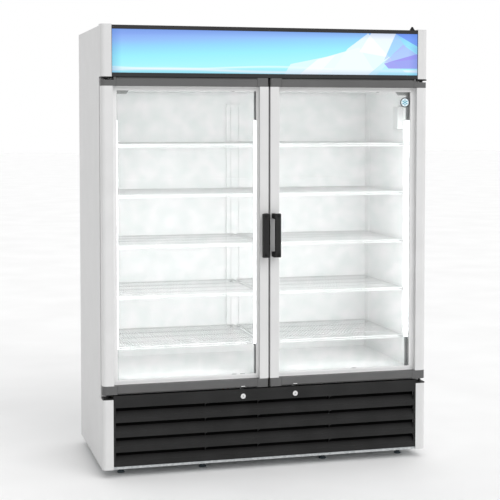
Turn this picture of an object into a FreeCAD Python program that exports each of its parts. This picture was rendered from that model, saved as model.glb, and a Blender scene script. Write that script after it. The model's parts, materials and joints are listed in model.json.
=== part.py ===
"""Two-door refrigerated glass door merchandiser, in millimetres.

+Z is up, the doors face -Y and +X is to the right of someone who faces them.
The origin is on the floor, under the middle of the cabinet.
"""
import FreeCAD
import Part
import os
import re

import Sketcher
from FreeCAD import Placement, Rotation, Vector

# ---------------------------------------------------------------- driving sizes

SIZES = [
    ("cabinet_width", 1530.0, "over the side panels"),
    ("overall_depth", 756.0, "handles to rear panel"),
    ("panel_height", 1965.0, "height of a side panel"),
    ("foot_height", 40.0, "floor to the side panels"),
    ("sheet", 1.5, "steel sheet of panels and liner"),
    ("flange", 24.0, "folded edge of a side panel"),
    ("wall_thick", 68.0, "insulated side wall"),
    ("back_thick", 58.0, "insulated rear wall"),
    ("roof_thick", 60.0, "insulated roof"),
    ("machine_height", 336.0, "side panel bottom to the insulated floor"),
    ("floor_height", 388.0, "side panel bottom to the cabinet floor"),
    ("ceiling_drop", 275.0, "side panel top to the ceiling duct"),
    ("face_sheet", 3.0, "front face frame"),
    ("mullion_width", 86.0, "centre mullion between the doors"),
    ("mullion_depth", 52.0, "centre mullion, front to back"),
    ("handle_reach", 48.0, "handle in front of the door"),
    ("handle_length", 198.0, "handle, top to bottom"),
    ("handle_height", 1031.0, "side panel bottom to the middle of a handle"),
    ("handle_width", 35.0, "handle, across both parts"),
    ("grip_width", 24.0, "grip bar across"),
    ("grip_thick", 20.0, "grip bar, front to back"),
    ("handle_arm", 24.0, "height of a handle arm"),
    ("handle_foot", 17.0, "width of a handle foot"),
    ("handle_inset", 2.0, "handle from the inner side of its door"),
    ("door_thick", 45.0, "door frame, front to back"),
    ("door_bottom", 336.5, "side panel bottom to the doors"),
    ("sign_band", 225.0, "side panel top to the doors"),
    ("door_gap", 9.0, "between the two doors"),
    ("door_reveal", 1.0, "door side inside the cabinet side"),
    ("gasket_gap", 10.0, "door frame to cabinet face"),
    ("gasket_clear", 0.4, "gasket to cabinet face"),
    ("gasket_width", 16.0, "gasket section across"),
    ("gasket_inset", 30.0, "gasket from the outer side of the cabinet"),
    ("gasket_inner", 8.0, "gasket from the inner side of its door"),
    ("gasket_low", 8.0, "gasket from the bottom of its door"),
    ("gasket_high", 12.0, "gasket from the top of its door"),
    ("corner_radius", 20.0, "rounded outer corner of doors and posts"),
    ("back_chamfer", 8.0, "outer rear edge of a door"),
    ("stile_hinge", 51.0, "stile on the hinge side"),
    ("stile_grip", 40.0, "stile on the handle side"),
    ("stile_wall", 3.0, "wall of the extruded frame"),
    ("rail_height", 39.0, "top and bottom rails"),
    ("rail_chamfer", 6.0, "sloped outer edge of a rail"),
    ("cap_length", 66.0, "moulded corner on the hinge side"),
    ("cap_centre", 53.0, "moulded corner on the handle side"),
    ("cap_notch", 13.0, "step of a top corner under the hinge"),
    ("cap_step", 1.0, "foot of that step's slope beyond the swing of the hinge plate"),
    ("cap_slope", 4.0, "sloped side of that step"),
    ("bead_recess", 26.0, "glazing bead behind the door front"),
    ("bead_hinge", 22.0, "glazing bead on the hinge side"),
    ("bead_grip", 11.0, "glazing bead on the handle side"),
    ("bead_edge", 19.5, "glazing bead at top and bottom"),
    ("pane_thick", 4.0, "one glass pane"),
    ("pane_space", 8.0, "between the two panes"),
    ("pane_edge", 6.0, "pane inside its bead"),
    ("pane_lip", 2.5, "bead in front of the panes"),
    ("pivot_inset", 24.0, "hinge pin from the outer side"),
    ("pivot_depth", 20.0, "hinge pin behind the door front"),
    ("pin_radius", 5.0, "hinge pin"),
    ("pin_clear", 0.05, "running clearance of a hinge pin"),
    ("pin_depth", 18.0, "hinge pin inside the door"),
    ("hinge_plate", 6.0, "thickness of a hinge plate"),
    ("hinge_boss", 7.5, "radius of the boss round a hinge pin"),
    ("hinge_leg", 40.0, "screwed leg of a hinge plate"),
    ("hinge_leg_thick", 3.5, "thickness of that leg"),
    ("hinge_margin", 1.0, "hinge plate to the corner post beside it"),
    ("hinge_seat", 0.5, "leg of a hinge plate in front of the post's rear wall"),
    ("hinge_setback", 4.0, "hinge plate behind the door front"),
    ("boss_rise", 3.0, "boss beyond its hinge plate"),
    ("lower_gap", 22.5, "lower post to door"),
    ("upper_gap", 1.5, "door to upper post and sign"),
    ("post_width", 48.0, "corner post across"),
    ("post_wall", 2.0, "wall of a corner post"),
    ("post_lip", 6.0, "upper post above the side panel"),
    ("sign_trim", 17.5, "dark trim above and below the sign"),
    ("sign_rise", 2.0, "sign above the side panel"),
    ("sign_wall", 2.0, "wall of the sign box"),
    ("lens_recess", 3.0, "sign lens behind its trim"),
    ("lens_thick", 3.0, "sign lens"),
    ("grille_bottom", 13.0, "side panel bottom to the grille"),
    ("grille_gap", 5.5, "grille to doors"),
    ("grille_skin", 2.5, "wall of the grille"),
    ("grille_depth", 24.0, "louvre blades, front to back"),
    ("louvre_pitch", 66.7, "louvre to louvre"),
    ("louvre_open", 40.0, "height of a louvre opening"),
    ("louvre_top", 54.0, "top of the grille to the first opening"),
    ("louvre_side", 10.0, "frame beside the openings"),
    ("lock_offset", 123.5, "lock from the middle of the cabinet"),
    ("lock_height", 299.0, "side panel bottom to a lock"),
    ("lock_flange", 12.0, "radius of a lock's face"),
    ("lock_barrel", 10.0, "radius of a lock's barrel"),
    ("lock_clear", 0.05, "running clearance of a lock's barrel"),
    ("lock_face", 2.5, "thickness of a lock's face"),
    ("lock_gap", 0.3, "a lock's face to the grille"),
    ("lock_room", 4.0, "a lock's barrel to its bolt"),
    ("keyway_width", 2.0, "keyway of a lock"),
    ("keyway_height", 10.0, "keyway of a lock"),
    ("bolt_width", 16.0, "lock bolt across"),
    ("bolt_thick", 5.0, "lock bolt, front to back"),
    ("bolt_travel", 9.0, "lift of a lock bolt"),
    ("bolt_clear", 0.6, "round a lock bolt"),
    ("tray_height", 30.0, "base tray"),
    ("tray_setback", 8.0, "base tray behind the door front"),
    ("bush_radius", 13.0, "threaded bush over a levelling foot"),
    ("bush_height", 12.0, "threaded bush under the base tray"),
    ("stem_clear", 0.4, "round the stem of a levelling foot"),
    ("foot_radius", 17.5, "levelling foot"),
    ("foot_disc", 10.0, "height of a levelling foot"),
    ("stem_rise", 24.0, "stem above the side panel bottom"),
    ("foot_stem", 6.0, "radius of a levelling foot's stem"),
    ("foot_inset", 97.0, "outer feet from the sides"),
    ("foot_inner", 289.5, "inner front feet from the middle"),
    ("foot_setback", 105.0, "front feet behind the door front"),
    ("shelf_levels", 5, "shelves above each other"),
    ("shelf_top", 531.0, "side panel bottom to the lowest shelf's wires"),
    ("shelf_rear", 4.0, "shelf to the slotted cover behind it"),
    ("shelf_side", 5.0, "shelf to the side wall"),
    ("shelf_centre", 8.0, "shelf to the middle of the cabinet"),
    ("shelf_gap", 4.0, "shelf behind the centre mullion"),
    ("shelf_skirt", 17.0, "bent front edge of a shelf"),
    ("wire", 3.2, "shelf wire"),
    ("wire_pitch", 14.3, "shelf wire to shelf wire"),
    ("rod", 5.5, "cross rod of a shelf"),
    ("weld", 0.6, "depth of a weld between wire and rod"),
    ("clip_height", 9.0, "shelf clip"),
    ("clip_width", 12.0, "shelf clip along the strip's face"),
    ("clip_length", 12.0, "shelf clip under the shelf"),
    ("clip_inset", 6.0, "middle clips from the shelf's inner edge"),
    ("slot_pitch", 12.7, "pilaster slot to slot"),
    ("slot_height", 7.0, "pilaster slot"),
    ("slot_width", 4.0, "pilaster slot across"),
    ("pilaster_width", 20.0, "slotted strip across"),
    ("pilaster_thick", 2.0, "slotted strip"),
    ("pilaster_set", 5.0, "front strips behind the front of a shelf"),
    ("pilaster_rear", 47.0, "rear strips in front of the shelves' rear edge"),
    ("strip_end", 60.0, "slotted strips from the floor and the ceiling"),
    ("slot_end", 6.0, "first slot from the end of its strip"),
    ("cover_width", 83.0, "slotted cover at the middle of the rear wall"),
    ("cover_thick", 12.0, "slotted cover, front to back"),
    ("cover_wall", 6.0, "depth of the slots in the middle cover"),
    ("duct_gap", 2.0, "ceiling duct to the slotted cover"),
    ("probe_thick", 30.0, "thermometer cover out from the side wall"),
    ("probe_width", 58.0, "thermometer cover, front to back"),
    ("probe_height", 106.0, "thermometer cover"),
    ("probe_front", 128.0, "thermometer cover behind the door front"),
    ("probe_drop", 75.0, "thermometer cover below the ceiling"),
    ("lamp_width", 12.0, "door lamp across"),
    ("lamp_depth", 12.0, "door lamp, front to back"),
    ("lamp_end", 140.0, "end cover of a door lamp"),
    ("lamp_gap", 2.0, "door lamp behind the face frame"),
    ("sign_lamp_side", 30.0, "sign lamp from the corner posts"),
    ("sign_lamp_drop", 110.0, "sign lamp below the side panel's top"),
    ("sign_lamp_height", 20.0, "sign lamp"),
    ("sign_lamp_depth", 14.0, "sign lamp, front to back"),
    ("coil_width", 960.0, "evaporator coil"),
    ("coil_depth", 168.0, "evaporator coil, front to back"),
    ("coil_rear", 92.0, "evaporator coil to the rear of the liner"),
    ("coil_margin", 40.0, "above and below the evaporator coil"),
    ("coil_plate", 3.0, "end plate of a coil"),
    ("coil_flange", 8.0, "end plate beyond its coil"),
    ("fan_radius", 90.0, "evaporator fan"),
    ("fan_lift", 8.0, "evaporator fan above the ceiling duct"),
    ("fan_depth", 18.0, "fan hub, front to back"),
    ("fan_hub", 22.0, "radius of a fan hub"),
    ("blade_thick", 2.0, "fan blade"),
    ("blade_pitch", 14.0, "slope of a fan blade, in degrees"),
    ("motor_radius", 27.0, "fan motor"),
    ("motor_length", 58.0, "fan motor"),
    ("arm_width", 20.0, "bracket of a fan motor"),
    ("arm_thick", 4.0, "bracket of a fan motor"),
    ("arm_reach", 18.0, "bracket beyond the ring of an evaporator fan"),
    ("motor_gap", 1.0, "fan hub to its motor"),
    ("fan_offset", 350.0, "evaporator fans from the middle"),
    ("condenser_radius", 120.0, "condenser fan"),
    ("fan_clear", 8.0, "fan to its ring"),
    ("line_radius", 4.8, "refrigerant line"),
    ("line_bend", 30.0, "bend of a refrigerant line"),
    ("line_spread", 24.0, "between the two refrigerant lines"),
    ("line_drop", 90.0, "lines at the coil below the top of the liner"),
    ("inlet_radius", 14.0, "power cord inlet"),
    ("inlet_side", 110.0, "power cord inlet from the side"),
    ("inlet_height", 120.0, "side panel bottom to the power cord inlet"),
    ("inlet_depth", 30.0, "power cord inlet in front of the rear panel"),
    ("vent_side", 220.0, "rear air slots from the side"),
    ("vent_middle", 60.0, "rear air slots from the middle"),
    ("vent_low", 80.0, "side panel bottom to the lowest rear air slot"),
    ("vent_high", 64.0, "rear air slots below the insulated floor"),
    ("vent_height", 8.0, "one rear air slot"),
    ("vent_pitch", 24.0, "rear air slot to slot"),
    ("compressor_x", -120.0, "compressor from the middle"),
    ("compressor_setback", 290.0, "compressor behind the cabinet face"),
    ("compressor_radius", 88.0, "compressor shell"),
    ("compressor_height", 200.0, "compressor shell below its dome"),
    ("compressor_lift", 18.0, "compressor above the tray"),
    ("dome_radius", 150.0, "roundness of the compressor's dome"),
    ("stub_rise", 5.0, "line stub above the compressor's dome"),
    ("stub_wall", 2.0, "wall of a line stub"),
    ("line_rise", 35.0, "lines above their stubs"),
    ("mount_radius", 12.0, "rubber mount of the compressor"),
    ("plate_margin", 6.0, "compressor's base plate beyond its shell"),
    ("plate_thick", 4.0, "compressor's base plate under its shell"),
    ("condenser_x", 330.0, "condenser from the middle"),
    ("condenser_width", 400.0, "condenser coil"),
    ("condenser_thick", 45.0, "condenser coil, front to back"),
    ("condenser_setback", 90.0, "condenser coil behind the door front"),
    ("condenser_lift", 28.0, "condenser coil above the tray"),
    ("condenser_drop", 30.0, "condenser coil below the insulated floor"),
    ("condenser_arm", 10.0, "bracket beyond the ring of the condenser fan"),
    ("control_width", 200.0, "control box"),
    ("control_depth", 145.0, "control box, front to back"),
    ("control_height", 205.0, "control box"),
    ("control_side", 60.0, "control box from the side"),
    ("control_setback", 65.0, "control box behind the cabinet face"),
    ("tab_width", 27.0, "tab on top of the sign, across"),
    ("tab_rise", 17.0, "tab above the sign"),
    ("tab_inset", 21.0, "middle of the tab from the corner post"),
    ("tab_flat", 6.0, "flat top of the tab"),
    ("tab_thick", 3.0, "tab, front to back"),
    ("tab_setback", 20.0, "tab behind the door front"),
]

# Places that follow from the driving sizes.
PLACES = {
    "half": "cabinet_width / 2",
    "front": "-overall_depth / 2 + handle_reach",
    "rear": "overall_depth / 2",
    "face": "front + door_thick + gasket_gap",
    "door_back": "front + door_thick",
    "base": "foot_height",
    "top": "base + panel_height",
    "inner_half": "half - wall_thick",
    "mullion_half": "mullion_width / 2",
    "liner_front": "face + face_sheet",
    "liner_back": "rear - back_thick",
    "deck": "base + machine_height",
    "bay_floor": "base + floor_height",
    "ceiling": "top - ceiling_drop",
    "liner_top": "top - roof_thick",
    "door_low": "base + door_bottom",
    "door_high": "top - sign_band",
    "door_outer": "-half + door_reveal",
    "door_inner": "-door_gap / 2",
    "bead_low": "door_low + rail_height",
    "bead_high": "door_high - rail_height",
    "bead_outer": "door_outer + stile_hinge",
    "bead_inner": "door_inner - stile_grip",
    "sight_low": "bead_low + bead_edge",
    "sight_high": "bead_high - bead_edge",
    "sight_outer": "bead_outer + bead_hinge",
    "sight_inner": "bead_inner - bead_grip",
    "pane_front": "front + bead_recess + pane_lip",
    "pane_rear": "pane_front + pane_thick + pane_space",
    "rail_left": "door_outer + cap_length",
    "rail_right": "door_inner - cap_centre",
    "pivot_x": "-half + pivot_inset",
    "pivot_y": "front + pivot_depth",
    "plate_end": "-half + post_width - post_wall - hinge_margin",
    "plate_reach": "sqrt((plate_end - pivot_x)^2 + (pivot_depth - hinge_setback)^2)",
    "step_end": "pivot_x + plate_reach + cap_step + cap_slope",
    "upper_low": "door_high + upper_gap",
    "lower_high": "door_low - lower_gap",
    "grille_low": "base + grille_bottom",
    "grille_high": "door_low - grille_gap",
    "grille_half": "half - post_width",
    "bolt_y": "front + door_thick / 2 - bolt_thick / 2",
    "bolt_high": "door_low - bolt_clear",
    "lock_z": "base + lock_height",
    "tab_x": "half - post_width - tab_inset",
    "shelf_y": "liner_front + mullion_depth + shelf_gap",
    "shelf_z": "base + shelf_top",
    "shelf_left": "-inner_half + shelf_side",
    "shelf_end": "liner_back - cover_thick - shelf_rear",
    "shelf_step": "floor((ceiling - shelf_z) / shelf_levels / slot_pitch) * slot_pitch",
    "rod_low": "shelf_z - wire - rod + weld",
    "coil_front": "liner_back - coil_rear - coil_depth",
    "fan_y": "(liner_front + coil_front - coil_flange) / 2",
    "tray": "base + sheet",
    "condenser_y": "front + condenser_setback",
    "condenser_z": "(tray + condenser_lift + deck - condenser_drop) / 2",
    "compressor_y": "face + compressor_setback",
    "compressor_z": "tray + compressor_lift",
    "dome_z": "compressor_z + compressor_height - sqrt(dome_radius^2 - compressor_radius^2)",
    "stub_top": "dome_z + dome_radius + stub_rise",
    "handle_z": "base + handle_height",
    "handle_right": "door_inner - handle_inset",
}

FOOT_PLACES = {
    "front_left": ("-half + foot_inset", "front + foot_setback"),
    "front_right": ("half - foot_inset", "front + foot_setback"),
    "inner_left": ("-foot_inner", "front + foot_setback"),
    "inner_right": ("foot_inner", "front + foot_setback"),
    "rear_left": ("-half + foot_inset", "rear - foot_setback"),
    "rear_right": ("half - foot_inset", "rear - foot_setback"),
}

doc = FreeCAD.newDocument("merchandiser")
sheet = doc.addObject("Spreadsheet::Sheet", "dims")
for row, (alias, number, note) in enumerate(SIZES, start=1):
    sheet.set(f"A{row}", alias)
    sheet.set(f"B{row}", str(number))
    sheet.set(f"C{row}", note)
    sheet.setAlias(f"B{row}", alias)
doc.recompute()

ALIASES = {alias for alias, _, _ in SIZES}
nodes = []


def full(text):
    """The text with each size and place written out as an expression on the sheet."""
    def swap(match):
        word = match.group(0)
        if word in PLACES:
            return "(" + full(PLACES[word]) + ")"
        return "dims." + word if word in ALIASES else word
    return re.sub(r"[a-z_]+", swap, text)


def value(text):
    """The number that an expression gives now."""
    return float(sheet.evalExpression(full(text)))


def keep(item, label):
    """Name a finished sub-part after its node."""
    item.Label = label
    nodes.append(item)
    return item


# ---------------------------------------------------------------- primitives and booleans

def block(x, y, z):
    """A box between the two expressions given for each axis."""
    item = doc.addObject("Part::Box", "block")
    for size, (low, high) in (("Length", x), ("Width", y), ("Height", z)):
        item.setExpression(size, full(f"({high}) - ({low})"))
    for axis, (low, _) in zip("xyz", (x, y, z)):
        item.setExpression("Placement.Base." + axis, full(low))
    return item


TURNS = {
    "x": Rotation(Vector(0, 1, 0), 90),
    "y": Rotation(Vector(1, 0, 0), -90),
    "z": Rotation(),
}


def cylinder(axis, x, y, z, radius, length):
    """A cylinder that runs from the point x, y, z along +axis."""
    item = doc.addObject("Part::Cylinder", "cylinder")
    item.Placement = Placement(Vector(), TURNS[axis])
    item.setExpression("Radius", full(radius))
    item.setExpression("Height", full(length))
    for name, place in zip("xyz", (x, y, z)):
        item.setExpression("Placement.Base." + name, full(place))
    return item


def fuse(*pieces):
    item = doc.addObject("Part::MultiFuse", "fuse")
    item.Shapes = list(pieces)
    return item


def cut(base_piece, *tools):
    item = doc.addObject("Part::Cut", "cut")
    item.Base = base_piece
    item.Tool = tools[0] if len(tools) == 1 else fuse(*tools)
    return item


def group(*pieces):
    """Separate solids that share one node."""
    item = doc.addObject("Part::Compound", "group")
    item.Links = list(pieces)
    return item


def moved(piece, x="0", y="0", z="0"):
    """The same piece again, shifted."""
    item = group(piece)
    for name, shift in zip("xyz", (x, y, z)):
        item.setExpression("Placement.Base." + name, full(shift))
    return item


def mirrored(piece):
    """The same piece on the other side of the middle of the cabinet."""
    item = doc.addObject("Part::Mirroring", "mirror")
    item.Source = piece
    item.Normal = Vector(1, 0, 0)
    return item


def both(piece):
    """The piece and its mirror image, as one group."""
    return group(piece, mirrored(piece))


# ---------------------------------------------------------------- bodies with sketches

def new_body(name):
    return doc.addObject("PartDesign::Body", name)


def rectangle(left, right, low, high):
    return [(left, low), (right, low), (right, high), (left, high)]


def sketch(body, role, loops, offset="0"):
    """Closed outlines on an origin plane, with each corner tied to the sheet."""
    item = body.newObject("Sketcher::SketchObject", "sketch")
    plane = [part for part in body.Origin.OriginFeatures if part.Role == role][0]
    item.AttachmentSupport = [(plane, "")]
    item.MapMode = "FlatFace"
    item.setExpression("AttachmentOffset.Base.z", full(offset))
    for corners in loops:
        first = item.GeometryCount
        count = len(corners)
        places = [Vector(value(u), value(v), 0) for u, v in corners]
        for index in range(count):
            item.addGeometry(Part.LineSegment(places[index], places[(index + 1) % count]))
        for index, (u, v) in enumerate(corners):
            edge, following = first + index, first + (index + 1) % count
            item.addConstraint(Sketcher.Constraint("Coincident", edge, 2, following, 1))
            for kind, text in (("DistanceX", u), ("DistanceY", v)):
                rule = Sketcher.Constraint(kind, -1, 1, edge, 1, value(text))
                item.setExpression(f"Constraints[{item.addConstraint(rule)}]", full(text))
    return item


def hole_sketch(body, role, circles, offset="0"):
    """Circles on an origin plane: each a centre and a radius."""
    item = sketch(body, role, [], offset)
    for u, v, radius in circles:
        shape = Part.Circle(Vector(value(u), value(v), 0), Vector(0, 0, 1), value(radius))
        edge = item.addGeometry(shape)
        rules = (
            (Sketcher.Constraint("DistanceX", -1, 1, edge, 3, value(u)), u),
            (Sketcher.Constraint("DistanceY", -1, 1, edge, 3, value(v)), v),
            (Sketcher.Constraint("Radius", edge, value(radius)), radius),
        )
        for rule, text in rules:
            item.setExpression(f"Constraints[{item.addConstraint(rule)}]", full(text))
    return item


def pad(body, outline, length, reverse=False):
    item = body.newObject("PartDesign::Pad", "pad")
    item.Profile = outline
    item.Refine = False
    item.Reversed = reverse
    item.setExpression("Length", full(length))
    doc.recompute()
    return item


def pocket(body, outline, length, reverse=False):
    """A cut; it has to take material away."""
    before = body.Shape.Volume
    item = body.newObject("PartDesign::Pocket", "pocket")
    item.Profile = outline
    item.Refine = False
    item.Reversed = reverse
    item.setExpression("Length", full(length))
    doc.recompute()
    if not item.Shape.Volume < before - 1:
        raise ValueError(f"a pocket in {body.Name} cuts nothing")
    return item


def repeat(body, feature, role, count, pitch, reverse=False):
    """Copies of a feature in a row along one of the body's axes."""
    item = body.newObject("PartDesign::LinearPattern", "row")
    item.Originals = [feature]
    axis = [part for part in body.Origin.OriginFeatures if part.Role == role][0]
    item.Direction = (axis, [""])
    item.Reversed = reverse
    item.Refine = False
    item.setExpression("Length", full(f"({count - 1}) * ({pitch})"))
    item.Occurrences = count
    body.Tip = item
    doc.recompute()
    return item


def upright_edges(shape, x, y):
    """Names of the upright edges of a shape at one x and y."""
    names = []
    for index, edge in enumerate(shape.Edges, start=1):
        box = edge.BoundBox
        if abs(box.XMin - x) + abs(box.XMax - x) + abs(box.YMin - y) + abs(box.YMax - y) < 0.01:
            names.append(f"Edge{index}")
    return names


def round_corner(body, feature, x, y, radius):
    item = body.newObject("PartDesign::Fillet", "rounded")
    item.Base = (feature, upright_edges(feature.Shape, value(x), value(y)))
    item.setExpression("Radius", full(radius))
    doc.recompute()
    return item


def chamfer_corner(body, feature, x, y, size):
    item = body.newObject("PartDesign::Chamfer", "chamfered")
    item.Base = (feature, upright_edges(feature.Shape, value(x), value(y)))
    item.setExpression("Size", full(size))
    doc.recompute()
    return item


# ---------------------------------------------------------------- cabinet shell

def side_panel():
    """A steel side with return flanges at the front and the rear."""
    body = new_body("side_panel")
    fold = "-half + flange"
    outline = sketch(body, "XY_Plane", [[
        ("-half", "face"), (fold, "face"), (fold, "face + sheet"),
        ("-half + sheet", "face + sheet"), ("-half + sheet", "rear - sheet"),
        (fold, "rear - sheet"), (fold, "rear"), ("-half", "rear")]], "base")
    pad(body, outline, "panel_height")
    return body


def rear_panel():
    """The rear sheet between the side flanges, with air slots low down and the cord inlet's hole."""
    body = new_body("rear_panel")
    outline = sketch(body, "XZ_Plane", [rectangle(
        "-half + flange", "half - flange", "base + sheet", "top - sheet")], "-rear")
    pad(body, outline, "sheet")
    slots = sketch(body, "XZ_Plane", [
        rectangle("-half + vent_side", "-vent_middle", "base + vent_low", "base + vent_low + vent_height"),
        rectangle("vent_middle", "half - vent_side", "base + vent_low", "base + vent_low + vent_height"),
    ], "-rear")
    slot = pocket(body, slots, "sheet * 2", True)
    room = value("machine_height - vent_low - vent_high")
    repeat(body, slot, "Z_Axis", int(room / value("vent_pitch")), "vent_pitch")
    inlet = hole_sketch(body, "XZ_Plane", [
        ("-half + inlet_side", "base + inlet_height", "inlet_radius")], "-rear")
    pocket(body, inlet, "sheet * 2", True)
    return body


def cabinet_shell():
    left = keep(side_panel(), "side_panel_left")
    keep(mirrored(left), "side_panel_right")
    keep(rear_panel(), "rear_panel")
    roof = block(("-half + sheet", "half - sheet"), ("face + sheet", "rear - sheet"),
                 ("top - sheet", "top"))
    keep(roof, "roof_panel")
    keep(base_frame(), "base_frame")


def base_frame():
    """A shallow tray between the sides, with a threaded bush over each levelling foot."""
    front_wall = "front + tray_setback"
    tray = cut(
        block(("-half + sheet", "half - sheet"), (front_wall, "rear - sheet"),
              ("base", "base + tray_height")),
        block(("-half + sheet * 2", "half - sheet * 2"), (f"{front_wall} + sheet", "rear - sheet * 2"),
              ("base + sheet", "base + tray_height + 1")))
    beside_posts = block(("-half - 1", "-grille_half"), ("front", "face + sheet"),
                         ("base - 1", "base + tray_height + 1"))
    under_grille = block(("-half", "half"), ("front", "front + grille_depth + 1"),
                         ("grille_low", "base + tray_height + 1"))
    bushes = [cylinder("z", x, y, "base - bush_height", "bush_radius", "bush_height + sheet")
              for x, y in FOOT_PLACES.values()]
    bores = [cylinder("z", x, y, "base - bush_height - 1", "foot_stem + stem_clear",
                      "bush_height + sheet + 2") for x, y in FOOT_PLACES.values()]
    shell = cut(tray, beside_posts, mirrored(beside_posts), under_grille)
    return cut(fuse(shell, *bushes), *bores)


def refrigerant_route(x):
    """One line, from the compressor up through the rear wall to the evaporator."""
    low, high = value("stub_top + line_rise"), value("liner_top - line_drop")
    wall, coil = value("rear - back_thick / 2"), value("liner_back - coil_rear")
    start = Vector(x, value("compressor_y"), value("stub_top"))
    return [start, Vector(x, start.y, low), Vector(x, wall, low),
            Vector(x, wall, high), Vector(x, coil, high)]


def bent_tube(points, radius, bend):
    """A round tube along straight runs that are joined by quarter bends."""
    edges, start = [], points[0]
    for index in range(1, len(points) - 1):
        corner = points[index]
        into = (corner - points[index - 1]).normalize()
        away = (points[index + 1] - corner).normalize()
        first, last = corner - into * bend, corner + away * bend
        centre = corner - into * bend + away * bend
        middle = centre + ((corner - centre).normalize() * bend)
        edges.append(Part.LineSegment(start, first).toShape())
        edges.append(Part.Arc(first, middle, last).toShape())
        start = last
    edges.append(Part.LineSegment(start, points[-1]).toShape())
    path = Part.Wire(edges)
    ring = Part.Wire([Part.makeCircle(radius, points[0], (points[1] - points[0]).normalize())])
    return path.makePipeShell([ring], True, False)


def refrigerant_lines():
    """Suction and liquid lines, side by side."""
    item = doc.addObject("Part::Feature", "refrigerant_lines")
    tubes = [bent_tube(refrigerant_route(value(f"compressor_x {side} line_spread / 2")),
                       value("line_radius"), value("line_bend")) for side in "-+"]
    item.Shape = Part.makeCompound(tubes)
    return item


def insulated_box(lines):
    """The liner is a tub of five plates, open at the front, and foam fills the space round it."""
    height = ("bay_floor - sheet", "liner_top + sheet")
    depth = ("liner_front", "liner_back")
    width = ("-inner_half", "inner_half")
    wall = block(("-inner_half - sheet", "-inner_half"), ("liner_front", "liner_back + sheet"), height)
    back = block(width, ("liner_back", "liner_back + sheet"), height)
    keep(group(wall, mirrored(wall), cut(back, lines),
               block(width, depth, ("bay_floor - sheet", "bay_floor")),
               block(width, depth, ("liner_top", "liner_top + sheet"))), "inner_liner")
    bulk = block(("-half + sheet", "half - sheet"), ("liner_front", "rear - sheet"),
                 ("deck", "top - sheet"))
    space = block(("-inner_half - sheet", "inner_half + sheet"), ("liner_front - 1", "liner_back + sheet"),
                  ("bay_floor - sheet", "liner_top + sheet"))
    keep(cut(bulk, space, lines), "insulation_foam")
    keep(lines, "refrigerant_lines")


def face_frame():
    """The bars of sheet that the gaskets close on, round one opening for each door."""
    depth = ("face", "face + face_sheet")
    width = ("-inner_half", "inner_half")
    jamb = block(("-half + flange", "-inner_half"), depth, ("deck", "top - sheet"))
    return group(jamb, mirrored(jamb),
                 block(("-mullion_half", "mullion_half"), depth, ("bay_floor", "ceiling")),
                 block(width, depth, ("deck", "bay_floor")),
                 block(width, depth, ("ceiling", "top - sheet")))


def slotted_strip(x, y, thick_x, thick_y, slot_x, slot_y):
    """An upright strip with its row of slots; one of the two thicknesses is the strip's width."""
    strip = block((x, f"({x}) + {thick_x}"), (y, f"({y}) + {thick_y}"),
                  ("bay_floor + strip_end", "ceiling - strip_end"))
    item = doc.addObject("Part::Feature", "slots")
    pitch, height = value("slot_pitch"), value("slot_height")
    low = value("bay_floor + strip_end + slot_end")
    high = value("ceiling - strip_end - slot_end")
    slots = []
    for index in range(int((high - low) / pitch)):
        for left, right, near, far in zip(slot_x[::2], slot_x[1::2], slot_y[::2], slot_y[1::2]):
            corner = Vector(value(left), value(near), low + index * pitch)
            size = (value(right) - value(left), value(far) - value(near), height)
            slots.append(Part.makeBox(*size, corner))
    item.Shape = Part.makeCompound(slots)
    return cut(strip, item)


def interior():
    keep(face_frame(), "face_frame")
    keep(block(("-mullion_half", "mullion_half"), ("liner_front", "liner_front + mullion_depth"),
               ("bay_floor", "ceiling")), "centre_mullion")
    strips = []
    for place in ("shelf_y + pilaster_set", "shelf_end - pilaster_rear"):
        strips.append(slotted_strip(
            "-inner_half", place, "pilaster_thick", "pilaster_width",
            ["-inner_half - 1", "-inner_half + pilaster_thick + 1"],
            [f"{place} + pilaster_width / 2 - slot_width / 2",
             f"{place} + pilaster_width / 2 + slot_width / 2"]))
    keep(both(group(*strips)), "shelf_pilasters")
    row = "cover_width / 4 - slot_width / 2"
    cover = slotted_strip(
        "-cover_width / 2", "liner_back - cover_thick", "cover_width", "cover_thick",
        [f"-({row}) - slot_width", f"-({row})", row, f"{row} + slot_width"],
        ["liner_back - cover_thick - 1", "liner_back - cover_thick + cover_wall"] * 2)
    keep(cover, "rear_duct_cover")
    ceiling_plate = cut(
        block(("-inner_half", "inner_half"), ("liner_front", "liner_back - cover_thick - duct_gap"),
              ("ceiling", "ceiling + sheet")),
        *[cylinder("z", side + "fan_offset", "fan_y", "ceiling - 1",
                   "fan_radius + fan_clear", "sheet + 2") for side in ("-", "")])
    keep(ceiling_plate, "ceiling_duct")
    keep(block(("inner_half - probe_thick", "inner_half - pilaster_thick"),
               ("front + probe_front", "front + probe_front + probe_width"),
               ("ceiling - probe_drop - probe_height", "ceiling - probe_drop")), "thermometer_cover")


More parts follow.
